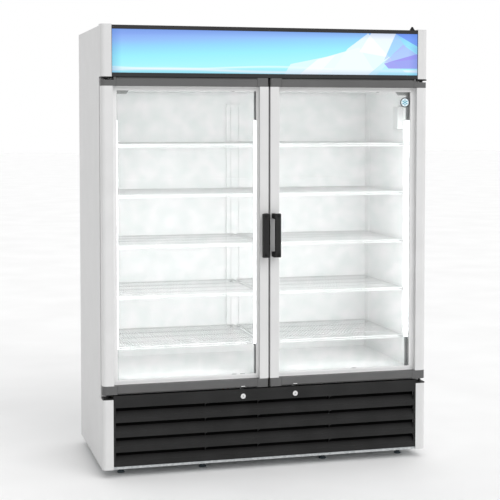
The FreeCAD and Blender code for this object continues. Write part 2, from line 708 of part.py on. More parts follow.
def shelf():
    """Wires that run front to back and bend down at the front, welded onto cross rods."""
    body = new_body("shelf")
    width = "-shelf_centre - shelf_left"
    gap = "(shelf_end - shelf_y - rod) / 4"
    wires = int((value(width) - value("wire")) / value("wire_pitch")) + 1
    windows = [rectangle("shelf_left + rod", "-shelf_centre - rod",
                         f"shelf_y + wire - weld + rod + {gap} * {index}",
                         f"shelf_y + wire - weld + {gap} * {index + 1}") for index in range(3)]
    windows.append(rectangle("shelf_left + rod", "-shelf_centre - rod",
                             f"shelf_y + wire - weld + rod + {gap} * 3", "shelf_end - rod"))
    frame = sketch(body, "XY_Plane", [rectangle(
        "shelf_left", "-shelf_centre", "shelf_y + wire - weld", "shelf_end")] + windows, "rod_low")
    pad(body, frame, "rod")
    bend = sketch(body, "YZ_Plane", [[
        ("shelf_y", "shelf_z - shelf_skirt"), ("shelf_y + wire", "shelf_z - shelf_skirt"),
        ("shelf_y + wire", "shelf_z - wire"), ("shelf_end", "shelf_z - wire"),
        ("shelf_end", "shelf_z"), ("shelf_y", "shelf_z")]],
        f"shelf_left + ({width} - wire_pitch * {wires - 1} - wire) / 2")
    wire_pad = pad(body, bend, "wire")
    repeat(body, wire_pad, "X_Axis", wires, "wire_pitch")
    lower = sketch(body, "YZ_Plane", [rectangle(
        "shelf_y + wire - weld", "shelf_y + wire - weld + rod",
        "shelf_z - shelf_skirt", "shelf_z - shelf_skirt + rod")], "shelf_left")
    pad(body, lower, width)
    return body


def shelves():
    lowest = both(shelf())
    levels = range(round(value("shelf_levels")))
    for level in levels:
        keep(moved(lowest, z=f"shelf_step * {level}"), f"shelf_pair_{level + 1}")
    clip_span = ("rod_low - clip_height", "rod_low")
    behind_skirt = "shelf_y + wire + rod + 1"
    centre = ("-shelf_centre - clip_inset - clip_length", "-shelf_centre - clip_inset")
    clips = [
        block(("-inner_half + pilaster_thick", "shelf_left + clip_length"),
              (near, f"{near} + clip_width"), clip_span)
        for near in (behind_skirt, "shelf_end - pilaster_rear + (pilaster_width - clip_width) / 2")]
    clips.append(block(centre, ("liner_front + mullion_depth", "shelf_y + clip_width"),
                       ("shelf_z - shelf_skirt - clip_height", "shelf_z - shelf_skirt")))
    clips.append(block(centre, ("shelf_end - clip_length", "liner_back - cover_thick"), clip_span))
    level_clips = both(group(*clips))
    keep(group(*[moved(level_clips, z=f"shelf_step * {level}") for level in levels]),
         "shelf_clips")


def lamps():
    """Upright lamps beside each opening, and one bar behind the sign."""
    places = (("-inner_half", "-inner_half + lamp_width"),
              ("-mullion_half - lamp_width", "-mullion_half"))
    depth = ("liner_front + lamp_gap", "liner_front + lamp_gap + lamp_depth")
    bars = [block(place, depth, ("bay_floor + lamp_end", "ceiling - lamp_end")) for place in places]
    ends = [block(place, depth, span) for place in places
            for span in (("bay_floor", "bay_floor + lamp_end"), ("ceiling - lamp_end", "ceiling"))]
    sign_bar = block(("-grille_half + sign_lamp_side", "grille_half - sign_lamp_side"),
                     ("face - sign_wall - sign_lamp_depth", "face - sign_wall"),
                     ("top - sign_lamp_drop - sign_lamp_height", "top - sign_lamp_drop"))
    keep(group(both(group(*bars)), sign_bar), "led_lamps")
    keep(both(group(*ends)), "lamp_end_covers")


# ---------------------------------------------------------------- front trim

def post(low, length):
    """A hollow corner post with a rounded outer front edge."""
    body = new_body("post")
    inner_side, inner_end = "-half + post_wall", "-half + post_width - post_wall"
    turn = "corner_radius * 0.6"
    outline = sketch(body, "XY_Plane", [
        rectangle("-half", "-half + post_width", "front", "face"),
        [(f"{inner_side} + {turn}", "front + post_wall"), (inner_end, "front + post_wall"),
         (inner_end, "face - post_wall"), (inner_side, "face - post_wall"),
         (inner_side, f"front + post_wall + {turn}")]], low)
    solid = pad(body, outline, length)
    round_corner(body, solid, "-half", "front", "corner_radius")
    return body


def sign():
    side = "half - post_width"
    low, high = "upper_low", "top + sign_rise"
    window = ("front - 1", "front + lens_recess + lens_thick + 1")
    box = cut(
        block((f"-({side})", side), ("front", "face"), (low, high)),
        block((f"-({side}) + sign_wall", f"{side} - sign_wall"),
              ("front + lens_recess + lens_thick", "face - sign_wall"),
              (f"{low} + sign_wall", f"{high} - sign_wall")),
        block((f"-({side}) + sign_wall", f"{side} - sign_wall"), window,
              (f"{low} + sign_trim", f"{high} - sign_trim")))
    keep(box, "sign_frame")
    keep(block((f"-({side}) + sign_wall", f"{side} - sign_wall"),
               ("front + lens_recess", "front + lens_recess + lens_thick"),
               (f"{low} + sign_trim", f"{high} - sign_trim")), "sign_lens")
    tab = new_body("tab")
    outline = sketch(tab, "XZ_Plane", [[
        ("tab_x - tab_width / 2", high), ("tab_x + tab_width / 2", high),
        ("tab_x + tab_flat / 2", f"{high} + tab_rise"),
        ("tab_x - tab_flat / 2", f"{high} + tab_rise")]], "-front - tab_setback")
    pad(tab, outline, "tab_thick", True)
    keep(tab, "sign_tab")


def grille():
    """A skin with openings, a sloped blade behind each, and turned edges all round."""
    body = new_body("grille")
    opening_high = "grille_high - louvre_top"
    opening_low = "grille_high - louvre_top - louvre_open"
    room = value("grille_high - grille_low - louvre_top + louvre_pitch - louvre_open")
    louvres = int(room / value("louvre_pitch"))
    skin = sketch(body, "XZ_Plane", [rectangle(
        "-grille_half", "grille_half", "grille_low", "grille_high")], "-front")
    pad(body, skin, "grille_skin", True)
    opening = sketch(body, "XZ_Plane", [rectangle(
        "-grille_half + louvre_side", "grille_half - louvre_side", opening_low, opening_high)], "-front")
    slot = pocket(body, opening, "grille_skin + 1")
    repeat(body, slot, "Z_Axis", louvres, "louvre_pitch", True)
    rise = "grille_depth - grille_skin"
    blade = sketch(body, "YZ_Plane", [[
        ("front + grille_skin / 2", f"{opening_low} - grille_skin * 1.5"),
        ("front + grille_depth", f"{opening_low} + {rise} - grille_skin * 1.5"),
        ("front + grille_depth", f"{opening_low} + {rise}"),
        ("front + grille_skin / 2", f"{opening_low} - grille_skin / 4")]],
        "-grille_half + louvre_side / 2")
    blade_pad = pad(body, blade, "grille_half * 2 - louvre_side")
    repeat(body, blade_pad, "Z_Axis", louvres, "louvre_pitch", True)
    edges = sketch(body, "XZ_Plane", [
        rectangle("-grille_half", "grille_half", "grille_low", "grille_high"),
        rectangle("-grille_half + grille_skin", "grille_half - grille_skin",
                  "grille_low + grille_skin", "grille_high - grille_skin")],
        "-front - grille_skin / 2")
    pad(body, edges, "grille_depth - grille_skin / 2", True)
    bore = hole_sketch(body, "XZ_Plane", [
        (side + "lock_offset", "lock_z", "lock_barrel + lock_clear") for side in ("-", "")], "-front")
    pocket(body, bore, "grille_skin + 1")
    ways = sketch(body, "XY_Plane", [rectangle(
        f"{side}lock_offset - bolt_width / 2 - bolt_clear",
        f"{side}lock_offset + bolt_width / 2 + bolt_clear",
        "bolt_y - bolt_clear", "bolt_y + bolt_thick + bolt_clear") for side in ("-", "")],
        "grille_high")
    pocket(body, ways, "grille_skin + 1")
    return body


def lock_barrel():
    """A round face, a barrel in the grille's bore and a flat cam that lifts the bolt."""
    x, z = "-lock_offset", "lock_z"
    face_low = "front - lock_gap - lock_face"
    face_plate = cylinder("y", x, face_low, z, "lock_flange", "lock_face")
    barrel = cylinder("y", x, "front - lock_gap - lock_face / 2", z, "lock_barrel",
                      "bolt_y - lock_room - front + lock_gap + lock_face / 2")
    keyway = block((f"{x} - keyway_width / 2", f"{x} + keyway_width / 2"),
                   (f"{face_low} - 1", f"{face_low} + lock_face * 1.5"),
                   (f"{z} - keyway_height / 2", f"{z} + keyway_height / 2"))
    return cut(fuse(face_plate, barrel), keyway)


def lock_bolt():
    """A flat bolt behind the lock, lifted into the door's rail."""
    return block(("-lock_offset - bolt_width / 2", "-lock_offset + bolt_width / 2"),
                 ("bolt_y", "bolt_y + bolt_thick"), ("lock_z - lock_flange", "bolt_high"))


def hinge_hardware():
    """Plates that are screwed to the cabinet face, and the pins that they hold."""
    side = ("-half + post_wall + hinge_margin", "plate_end")
    leg_rear = "face - post_wall - hinge_seat"
    leg_depth = (f"{leg_rear} - hinge_leg_thick", leg_rear)
    plate_high = "upper_low - hinge_margin"
    plates, pins = [], []
    levels = (
        ("lower_high", "lower_high + hinge_plate", "lower_high - hinge_leg", "lower_high"),
        (f"{plate_high} - hinge_plate", plate_high, plate_high, f"{plate_high} + hinge_leg"),
    )
    for low, high, leg_low, leg_high in levels:
        plate = block(side, ("front + hinge_setback", "face"), (low, high))
        leg = block(side, leg_depth, (leg_low, leg_high))
        web = block(side, leg_depth, (low, high))
        boss_low = low if low == "lower_high" else f"{low} - boss_rise"
        boss = cylinder("z", "pivot_x", "pivot_y", boss_low, "hinge_boss", "hinge_plate + boss_rise")
        bore = cylinder("z", "pivot_x", "pivot_y", f"{boss_low} - 1", "pin_radius",
                        "hinge_plate + boss_rise + 2")
        plates.append(cut(fuse(plate, leg, web, boss), bore))
    pins.append(cylinder("z", "pivot_x", "pivot_y", "lower_high", "pin_radius",
                         "lower_gap + pin_depth"))
    pins.append(cylinder("z", "pivot_x", "pivot_y", "door_high - cap_notch - pin_depth",
                         "pin_radius", "cap_notch + pin_depth + upper_gap - hinge_margin"))
    keep(both(group(*plates)), "hinge_brackets")
    keep(both(group(*pins)), "hinge_pins")


def front_trim():
    keep(both(group(post("base", "lower_high - base"),
                    post("upper_low", "top + post_lip - upper_low"))), "corner_posts")
    sign()
    keep(grille(), "grille")
    barrel = keep(lock_barrel(), "lock_barrel_left")
    keep(mirrored(barrel), "lock_barrel_right")
    bolt = keep(lock_bolt(), "lock_bolt_left")
    keep(mirrored(bolt), "lock_bolt_right")
    hinge_hardware()


# ---------------------------------------------------------------- doors

def stile(left, right, outer_corner):
    """A hollow upright of the door frame, from the lower corner to the upper one."""
    body = new_body("stile")
    inset = "stile_wall"
    outer = rectangle(left, right, "front", "door_back")
    if outer_corner:
        slope = "corner_radius * 0.6"
        inner = [(f"{left} + {inset} + {slope}", f"front + {inset}"),
                 (f"{right} - {inset}", f"front + {inset}"),
                 (f"{right} - {inset}", f"door_back - {inset}"),
                 (f"{left} + {inset} + back_chamfer", f"door_back - {inset}"),
                 (f"{left} + {inset}", f"door_back - {inset} - back_chamfer"),
                 (f"{left} + {inset}", f"front + {inset} + {slope}")]
    else:
        inner = rectangle(f"{left} + {inset}", f"{right} - {inset}",
                          f"front + {inset}", f"door_back - {inset}")
    solid = pad(body, sketch(body, "XY_Plane", [outer, inner], "bead_low"), "bead_high - bead_low")
    if outer_corner:
        rounded = round_corner(body, solid, left, "front", "corner_radius")
        chamfer_corner(body, rounded, left, "door_back", "back_chamfer")
    return body


def rail(low, high, outside):
    """A hollow rail; its outer front edge is sloped. outside is the height of that edge."""
    body = new_body("rail")
    wall = "stile_wall"
    if outside == low:
        outer = [("front", f"{low} + rail_chamfer"), ("front + rail_chamfer", low),
                 ("door_back", low), ("door_back", high), ("front", high)]
    else:
        outer = [("front", low), ("door_back", low), ("door_back", high),
                 ("front + rail_chamfer", high), ("front", f"{high} - rail_chamfer")]
    inner = rectangle(f"front + {wall}", f"door_back - {wall}",
                      f"{low} + {wall} + rail_chamfer / 2", f"{high} - {wall} - rail_chamfer / 2")
    pad(body, sketch(body, "YZ_Plane", [outer, inner], "rail_left"), "rail_right - rail_left")
    return body


def bottom_rail():
    body = rail("door_low", "bead_low", "door_low")
    way = sketch(body, "XY_Plane", [rectangle(
        "-lock_offset - bolt_width / 2 - bolt_clear", "-lock_offset + bolt_width / 2 + bolt_clear",
        "bolt_y - bolt_clear", "bolt_y + bolt_thick + bolt_clear")], "door_low - 1")
    pocket(body, way, "bolt_travel + 3", True)
    return body


def corner_cap(left, right, low, high, outer_corner, notch_low=None):
    """A moulded corner of the door; the hinge side has a rounded edge and a bore for the pin."""
    body = new_body("cap")
    if notch_low is None:
        outer = rectangle(left, right, low, high)
    else:
        outer = [(left, low), (right, low), (right, high), ("step_end", high),
                 ("step_end - cap_slope", notch_low), (left, notch_low)]
    outline = sketch(body, "XZ_Plane", [outer], "-front")
    last = pad(body, outline, "door_thick", True)
    if outer_corner:
        last = round_corner(body, last, left, "front", "corner_radius")
        last = chamfer_corner(body, last, left, "door_back", "back_chamfer")
    return body


def door_frame():
    """Stiles, and rails with their moulded corners."""
    hinge = stile("door_outer", "bead_outer", True)
    grip = stile("bead_inner", "door_inner", False)
    keep_left = group(hinge, grip)
    outer_low = corner_cap("door_outer", "rail_left", "door_low", "bead_low", True)
    outer_high = corner_cap("door_outer", "rail_left", "bead_high", "door_high", True,
                            "door_high - cap_notch")
    bore_low = cylinder("z", "pivot_x", "pivot_y", "door_low - 1", "pin_radius + pin_clear",
                        "pin_depth + 3")
    bore_high = cylinder("z", "pivot_x", "pivot_y", "door_high - cap_notch - pin_depth - 2",
                         "pin_radius + pin_clear", "pin_depth + 3")
    rails = group(
        bottom_rail(), rail("bead_high", "door_high", "door_high"),
        cut(outer_low, bore_low), cut(outer_high, bore_high),
        corner_cap("rail_right", "door_inner", "door_low", "bead_low", False),
        corner_cap("rail_right", "door_inner", "bead_high", "door_high", False))
    return keep_left, rails


def mitred_ring(outside, inside, near, far):
    """Four bars between two rectangles, cut on the slant where they meet."""
    bars = []
    for index in range(4):
        after = (index + 1) % 4
        body = new_body("bar")
        corners = [outside[index], outside[after], inside[after], inside[index]]
        pad(body, sketch(body, "XZ_Plane", [corners], f"-({near})"), f"{far} - ({near})", True)
        bars.append(body)
    return bars


def glazing():
    """The bead round the glass, and the two panes in its grooves."""
    bars = mitred_ring(rectangle("bead_outer", "bead_inner", "bead_low", "bead_high"),
                       rectangle("sight_outer", "sight_inner", "sight_low", "sight_high"),
                       "front + bead_recess", "door_back")
    panes = [block(("sight_outer - pane_edge", "sight_inner + pane_edge"),
                   (near, f"{near} + pane_thick"), ("sight_low - pane_edge", "sight_high + pane_edge"))
             for near in ("pane_front", "pane_rear")]
    return group(*[cut(bar, *panes) for bar in bars]), group(*panes)


def gasket():
    """A closed ring of soft section behind the door frame."""
    outer, inner = "-half + gasket_inset", "door_inner - gasket_inner"
    low, high = "door_low + gasket_low", "door_high - gasket_high"
    hollow = rectangle(f"{outer} + gasket_width", f"{inner} - gasket_width",
                       f"{low} + gasket_width", f"{high} - gasket_width")
    return group(*mitred_ring(rectangle(outer, inner, low, high), hollow,
                              "door_back", "face - gasket_clear"))


def handle():
    """A C-shaped pull: two feet on the stile carry a grip that stands away from the door's edge."""
    body = new_body("handle")
    left, right = "handle_right - handle_width", "handle_right"
    low, high = "handle_z - handle_length / 2", "handle_z + handle_length / 2"
    grip_end = f"{left} + grip_width"
    outline = sketch(body, "XZ_Plane", [[
        (left, low), (right, low), (right, f"{low} + handle_arm"), (grip_end, f"{low} + handle_arm"),
        (grip_end, f"{high} - handle_arm"), (right, f"{high} - handle_arm"), (right, high),
        (left, high)]], "-front + handle_reach")
    pad(body, outline, "grip_thick", True)
    feet = sketch(body, "XZ_Plane", [
        rectangle(f"{right} - handle_foot", right, low, f"{low} + handle_arm"),
        rectangle(f"{right} - handle_foot", right, f"{high} - handle_arm", high)], "-front")
    pad(body, feet, "handle_reach - grip_thick + 1")
    return body


def doors():
    stiles, rails = door_frame()
    bead, panes = glazing()
    pieces = {"stiles": stiles, "rails": rails, "glazing_bead": bead, "glass": panes,
              "gasket": gasket(), "handle": handle()}
    for name, piece in pieces.items():
        keep(piece, "door_left_" + name)
        keep(mirrored(piece), "door_right_" + name)


# ---------------------------------------------------------------- refrigeration

def fan(axis, x, y, z, radius):
    """A hub with four pitched blades."""
    hub = cylinder(axis, x, y, z, "fan_hub", "fan_depth")
    item = doc.addObject("Part::Feature", "blades")
    reach, root, thick = value(radius), value("fan_hub - 4"), value("blade_thick")
    chord = reach * 0.55
    middle = TURNS[axis].multVec(Vector(0, 0, value("fan_depth / 2")))
    rim = Part.makeCylinder(reach, 2 * chord, Vector(0, 0, -chord))
    blades = []
    for index in range(4):
        blade = Part.makeBox(reach - root, chord, thick, Vector(root, -chord / 2, -thick / 2))
        blade.rotate(Vector(), Vector(1, 0, 0), value("blade_pitch"))
        blade.rotate(Vector(), Vector(0, 0, 1), 90 * index)
        blades.append(blade.common(rim))
    item.Shape = Part.makeCompound(blades)
    item.Placement = Placement(Vector(value(x), value(y), value(z)) + middle, TURNS[axis])
    return fuse(hub, item)


def evaporator():
    """Coil and fans above the ceiling duct."""
    duct = "ceiling + sheet"
    motor_low = f"{duct} + fan_lift + fan_depth + motor_gap"
    arm_low = f"{motor_low} + motor_length - arm_thick"
    reach = "(fan_radius + fan_clear + arm_reach)"
    motors = []
    for side, name in (("-", "left"), ("", "right")):
        x = side + "fan_offset"
        keep(fan("z", x, "fan_y", f"{duct} + fan_lift", "fan_radius"), f"evaporator_fan_{name}")
        motor = cylinder("z", x, "fan_y", motor_low, "motor_radius", "motor_length")
        across = ("fan_y - arm_width / 2", "fan_y + arm_width / 2")
        arm = block((f"{x} - {reach}", f"{x} + {reach}"), across, (arm_low, f"{arm_low} + arm_thick"))
        legs = [block((f"{x} + {place}", f"{x} + {place} + arm_thick"), across,
                      (duct, f"{arm_low} + arm_thick")) for place in (f"{reach} - arm_thick", f"-{reach}")]
        motors.append(fuse(motor, arm, *legs))
    keep(group(*motors), "evaporator_fan_motors")
    fins = block(("-coil_width / 2", "coil_width / 2"), ("coil_front", "coil_front + coil_depth"),
                 ("ceiling + coil_margin", "liner_top - coil_margin"))
    plates = [block((side, f"{side} + coil_plate"),
                    ("coil_front - coil_flange", "coil_front + coil_depth + coil_flange"),
                    (duct, "liner_top")) for side in ("coil_width / 2", "-coil_width / 2 - coil_plate")]
    keep(fuse(fins, *plates), "evaporator_coil")


def compressor():
    """A domed steel shell on a plate with four rubber mounts."""
    x, y, low = "compressor_x", "compressor_y", "compressor_z"
    tank = cylinder("z", x, y, low, "compressor_radius", "dome_z + dome_radius - compressor_z")
    dome = doc.addObject("Part::Sphere", "dome")
    dome.setExpression("Radius", full("dome_radius"))
    for axis, place in zip("xyz", (x, y, "dome_z")):
        dome.setExpression("Placement.Base." + axis, full(place))
    shell = doc.addObject("Part::Common", "shell")
    shell.Base = tank
    shell.Tool = dome
    stubs = [cylinder("z", f"{x} {side} line_spread / 2", y, f"{low} + compressor_height",
                      "line_radius + stub_wall", f"stub_top - {low} - compressor_height")
             for side in "-+"]
    side = "compressor_radius + plate_margin"
    plate = block((f"{x} - {side}", f"{x} + {side}"), (f"{y} - {side}", f"{y} + {side}"),
                  (f"{low} - plate_thick", f"{low} + plate_thick / 2"))
    reach = "compressor_radius - mount_radius"
    mounts = [cylinder("z", f"{x} {right} ({reach})", f"{y} {back} ({reach})", "tray",
                       "mount_radius", "compressor_lift - plate_thick")
              for right in "-+" for back in "-+"]
    return fuse(shell, plate, *stubs, *mounts)


def condenser():
    """The coil, and a plate with the fan's ring and motor behind it."""
    x, z = "condenser_x", "condenser_z"
    low, high = "tray + condenser_lift", "deck - condenser_drop"
    side = ("condenser_x - condenser_width / 2", "condenser_x + condenser_width / 2")
    plate_y = "condenser_y + condenser_thick"
    keep(block(side, ("condenser_y", plate_y), (low, high)), "condenser_coil")
    plate = cut(block(side, (plate_y, f"{plate_y} + arm_thick"), ("tray", high)),
                cylinder("y", x, f"{plate_y} - 1", z, "condenser_radius + fan_clear", "arm_thick + 2"))
    fan_y = f"{plate_y} + arm_thick + fan_clear"
    motor_y = f"{fan_y} + fan_depth + motor_gap"
    arm_y = f"{motor_y} + motor_length - arm_thick"
    motor = cylinder("y", x, motor_y, z, "motor_radius", "motor_length")
    height = (f"{z} - arm_width / 2", f"{z} + arm_width / 2")
    reach = "(condenser_radius + fan_clear + condenser_arm)"
    arm = block((f"{x} - {reach}", f"{x} + {reach}"), (arm_y, f"{arm_y} + arm_thick"), height)
    legs = [block((f"{x} + {place}", f"{x} + {place} + arm_thick"), (plate_y, f"{arm_y} + arm_thick"),
                  height) for place in (f"{reach} - arm_thick", f"-{reach}")]
    keep(fuse(plate, motor, arm, *legs), "condenser_shroud")
    keep(fan("y", x, fan_y, z, "condenser_radius"), "condenser_fan")


def machine_room():
    """What stands on the base tray behind the grille."""
    keep(compressor(), "compressor")
    condenser()
    box = block(("-half + control_side", "-half + control_side + control_width"),
                ("face + control_setback", "face + control_setback + control_depth"),
                ("tray", "tray + control_height"))
    inlet = cylinder("y", "-half + inlet_side", "rear - inlet_depth", "base + inlet_height",
                     "inlet_radius", "inlet_depth")
    keep(group(box, inlet), "control_box")


def feet():
    """Levelling feet, screwed fully in."""
    for name, (x, y) in FOOT_PLACES.items():
        disc = cylinder("z", x, y, "0", "foot_radius", "foot_disc")
        stem = cylinder("z", x, y, "foot_disc - 1", "foot_stem", "base + stem_rise - foot_disc + 1")
        keep(fuse(disc, stem), "foot_" + name)


# ---------------------------------------------------------------- assembly

cabinet_shell()
insulated_box(refrigerant_lines())
interior()
shelves()
lamps()
front_trim()
doors()
evaporator()
machine_room()
feet()
doc.recompute()

for item in doc.Objects:
    if "Invalid" in item.State or "Error" in item.State:
        raise ValueError(f"{item.Label} failed: {item.State}")
for item in nodes:
    if item.Shape.isNull() or not item.Shape.isValid():
        raise ValueError(f"{item.Label} has no valid shape")

os.makedirs("parts", exist_ok=True)
for item in nodes:
    item.Shape.exportStep(f"parts/{item.Label}.step")
print(len(nodes), "sub-parts")
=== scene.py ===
"""Glass door merchandiser: its looks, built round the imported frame.

Everything is in metres. +Z is up, the doors face -Y and +X is to the right of someone who faces them.
"""
import json
import math

import bmesh
import bpy
from mathutils import Matrix, Vector


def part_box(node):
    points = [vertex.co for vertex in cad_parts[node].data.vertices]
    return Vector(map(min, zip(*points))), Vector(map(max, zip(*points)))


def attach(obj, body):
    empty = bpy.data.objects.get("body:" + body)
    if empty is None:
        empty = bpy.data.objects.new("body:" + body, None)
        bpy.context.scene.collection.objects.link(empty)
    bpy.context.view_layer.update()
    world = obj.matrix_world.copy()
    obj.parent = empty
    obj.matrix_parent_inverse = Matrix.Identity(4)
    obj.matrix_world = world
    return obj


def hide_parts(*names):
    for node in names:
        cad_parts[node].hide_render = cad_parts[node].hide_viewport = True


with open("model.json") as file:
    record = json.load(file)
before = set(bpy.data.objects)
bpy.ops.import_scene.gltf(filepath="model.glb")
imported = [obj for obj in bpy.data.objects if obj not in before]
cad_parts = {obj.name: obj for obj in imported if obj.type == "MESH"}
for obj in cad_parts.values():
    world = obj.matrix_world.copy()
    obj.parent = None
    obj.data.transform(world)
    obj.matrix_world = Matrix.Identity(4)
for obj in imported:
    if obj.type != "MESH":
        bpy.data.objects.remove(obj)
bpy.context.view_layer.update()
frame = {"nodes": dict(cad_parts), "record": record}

NODES = frame["nodes"]
RECORD = frame["record"]
MM = 0.001
TURN = 2 * math.pi


# ---------------------------------------------------------------- materials

def linear(hex_colour):
    """An sRGB hex colour as the linear red, green, blue and alpha that nodes take."""
    parts = [int(hex_colour[i:i + 2], 16) / 255 for i in (1, 3, 5)]
    return [p / 12.92 if p <= 0.04045 else ((p + 0.055) / 1.055) ** 2.4 for p in parts] + [1.0]


def add(tree, kind, inputs=(), stops=(), **settings):
    """Add one node. inputs gives sockets, by name or number, a value or another node's output."""
    node = tree.nodes.new("ShaderNode" + kind)
    for name, setting in settings.items():
        setattr(node, name, setting)
    for socket, given in dict(inputs).items():
        if isinstance(given, bpy.types.NodeSocket):
            tree.links.new(given, node.inputs[socket])
        else:
            node.inputs[socket].default_value = given
    for place, (position, colour) in enumerate(stops):
        if place < 2:
            stop = node.color_ramp.elements[place]
            stop.position = position
        else:
            stop = node.color_ramp.elements.new(position)
        stop.color = colour
    return node


def blank(name):
    """A new material with an empty tree."""
    material = bpy.data.materials.new(name)
    material.use_nodes = True
    material.node_tree.nodes.clear()
    return material, material.node_tree


def grain(tree, size, detail=4.0, stretch=(1, 1, 1), kind="TexNoise", **settings):
    """A pattern whose features are size metres across, stretched along the row's axes."""
    place = add(tree, "TexCoord").outputs["Object"]
    if stretch != (1, 1, 1):
        place = add(tree, "Mapping", {"Vector": place, "Scale": stretch}).outputs[0]
    inputs = {"Vector": place, "Scale": 1 / size}
    if kind == "TexNoise":
        inputs["Detail"] = detail
    return add(tree, kind, inputs, **settings)


def waves(period):
    """The size to give grain for a wave pattern that repeats after this many metres."""
    return period * 20 / TURN


def finish(name, colours, rough, tone=0.12, texture=0.0012, depth=0.00004, stretch=(1, 1, 1),
           rough_spread=0.06, **shader):
    """A material with a slow drift between two colours, a fine surface texture and its roughness.

    tone and texture are the sizes of the two patterns; depth is the height of the fine one.
    """
    material, tree = blank(name)
    drift = grain(tree, tone, 2.0).outputs[0]
    colour = add(tree, "ValToRGB", {0: drift},
                 [(0.35, linear(colours[0])), (0.65, linear(colours[1]))]).outputs[0]
    fine = grain(tree, texture, 3.0, stretch).outputs[0]
    roughness = add(tree, "MapRange", {0: fine, 3: rough - rough_spread, 4: rough + rough_spread})
    bump = add(tree, "Bump", {"Height": fine, "Strength": 0.5, "Distance": depth})
    surface = add(tree, "BsdfPrincipled", {
        "Base Color": colour, "Roughness": roughness.outputs[0], "Normal": bump.outputs[0],
        **{key.replace("_", " ").title().replace("Ior", "IOR"): setting
           for key, setting in shader.items()}})
    add(tree, "OutputMaterial", {"Surface": surface.outputs[0]})
    return material


def spangled_zinc():
    """Hot-dip galvanised sheet: crystals about 9 mm across, each with its own grey and gloss."""
    material, tree = blank("hot_dip_galvanised_sheet")
    crystals = grain(tree, 9 * MM, kind="TexVoronoi").outputs["Color"]
    shade = add(tree, "SeparateColor", {0: crystals}).outputs[0]
    colour = add(tree, "ValToRGB", {0: shade},
                 [(0.0, linear("#B4B8BA")), (1.0, linear("#D4D7D8"))]).outputs[0]
    roughness = add(tree, "MapRange", {0: shade, 3: 0.36, 4: 0.52}).outputs[0]
    surface = add(tree, "BsdfPrincipled", {
        "Base Color": colour, "Roughness": roughness, "Metallic": 0.85})
    add(tree, "OutputMaterial", {"Surface": surface.outputs[0]})
    return material


def finned_coil():
    """Pressed aluminium fins, drawn 4 mm apart so that they show, across copper tubes; the dark between
    them is painted shade.
    """
    material, tree = blank("pressed_fin_aluminium")
    fins = grain(tree, waves(4 * MM), kind="TexWave", wave_type="BANDS",
                 bands_direction="X", wave_profile="SIN").outputs["Fac"]
    # The dark stop is painted shade in the gaps between the fins; the pale stop is the aluminium itself.
    colour = add(tree, "ValToRGB", {0: fins},
                 [(0.2, linear("#3C3F42")), (0.7, linear("#C4C7C9"))]).outputs[0]
    bump = add(tree, "Bump", {"Height": fins, "Strength": 0.9, "Distance": 1.5 * MM})
    surface = add(tree, "BsdfPrincipled", {
        "Base Color": colour, "Roughness": 0.42, "Metallic": 0.9, "Normal": bump.outputs[0]})
    add(tree, "OutputMaterial", {"Surface": surface.outputs[0]})
    return material


def float_glass():
    """Clear float glass: almost colourless, with a breath of green in its mass and faint dust."""
    material, tree = blank("clear_float_glass")
    dust = grain(tree, 60 * MM, 3.0).outputs[0]
    colour = add(tree, "ValToRGB", {0: dust},
                 [(0.3, linear("#F9FCFB")), (0.7, linear("#FFFFFF"))]).outputs[0]
    surface = add(tree, "BsdfPrincipled", {
        "Base Color": colour, "Roughness": 0.0, "IOR": 1.45, "Transmission Weight": 1.0})
    add(tree, "OutputMaterial", {"Surface": surface.outputs[0]})
    return material


def lit_lens(name, tint, strength, ribs):
    """Opal acrylic over white diodes: ribs run round it and the light is even."""
    material, tree = blank(name)
    rib = grain(tree, waves(ribs), kind="TexWave", wave_type="BANDS", bands_direction="Z").outputs["Fac"]
    glow = add(tree, "ValToRGB", {0: rib},
               [(0.0, linear(tint)), (1.0, linear("#FFFFFF"))]).outputs[0]
    surface = add(tree, "BsdfPrincipled", {
        "Base Color": linear("#F4F4F4"), "Roughness": 0.3,
        "Emission Color": glow, "Emission Strength": strength})
    add(tree, "OutputMaterial", {"Surface": surface.outputs[0]})
    return material


# The film's sky, as shares of the way up its slanting fade and the colour there. The first two
# are the ends of the fade.
SKY = ((0.10, "#A8F6FD"), (0.88, "#86A8F2"), (0.36, "#98EEFC"), (0.58, "#90D6FB"),
       (0.72, "#90BEF9"))
SKY_SLANT = -0.32

# Pale streaks low in the sign: height, how far they swell, half their width and how strong.
STREAKS = ((0.07, 0.03, 0.05, 0.75), (0.13, -0.04, 0.035, 0.55))
SWELL_ANGLE = 9.0

# Facets of the printed film, as corners in shares of the sign's width and height, a colour and
# how much each one covers. Later ones lie over earlier ones.
FACETS = (
    (((0.55, 0.0), (0.57, 0.24), (0.72, 0.47), (0.66, 0.0)), "#E9FBFF", 0.80),
    (((0.60, 0.0), (0.66, 0.36), (0.80, 0.66), (0.86, 0.0)), "#FFFFFF", 0.75),
    (((0.70, 0.0), (0.76, 0.62), (0.83, 1.0), (0.91, 0.38), (0.86, 0.0)), "#F2FDFF", 0.85),
    (((0.80, 0.55), (0.84, 1.0), (0.925, 1.0), (0.89, 0.44)), "#FFFFFF", 0.80),
    (((0.83, 0.0), (0.90, 0.42), (0.97, 0.0)), "#BFEFFF", 0.70),
    (((0.925, 1.0), (0.885, 0.36), (0.96, 0.70)), "#A9CCFF", 0.70),
    (((0.885, 0.30), (0.95, 0.74), (1.0, 0.50), (1.0, 0.40)), "#B4B6FA", 0.70),
    (((0.885, 0.28), (1.0, 0.52), (1.0, 0.16), (0.90, 0.16)), "#9A86F0", 0.80),
    (((0.925, 1.0), (1.0, 0.70), (1.0, 1.0)), "#6E8FFA", 0.85),
    (((0.95, 0.76), (1.0, 0.66), (1.0, 0.52)), "#9ADCFF", 0.60),
)


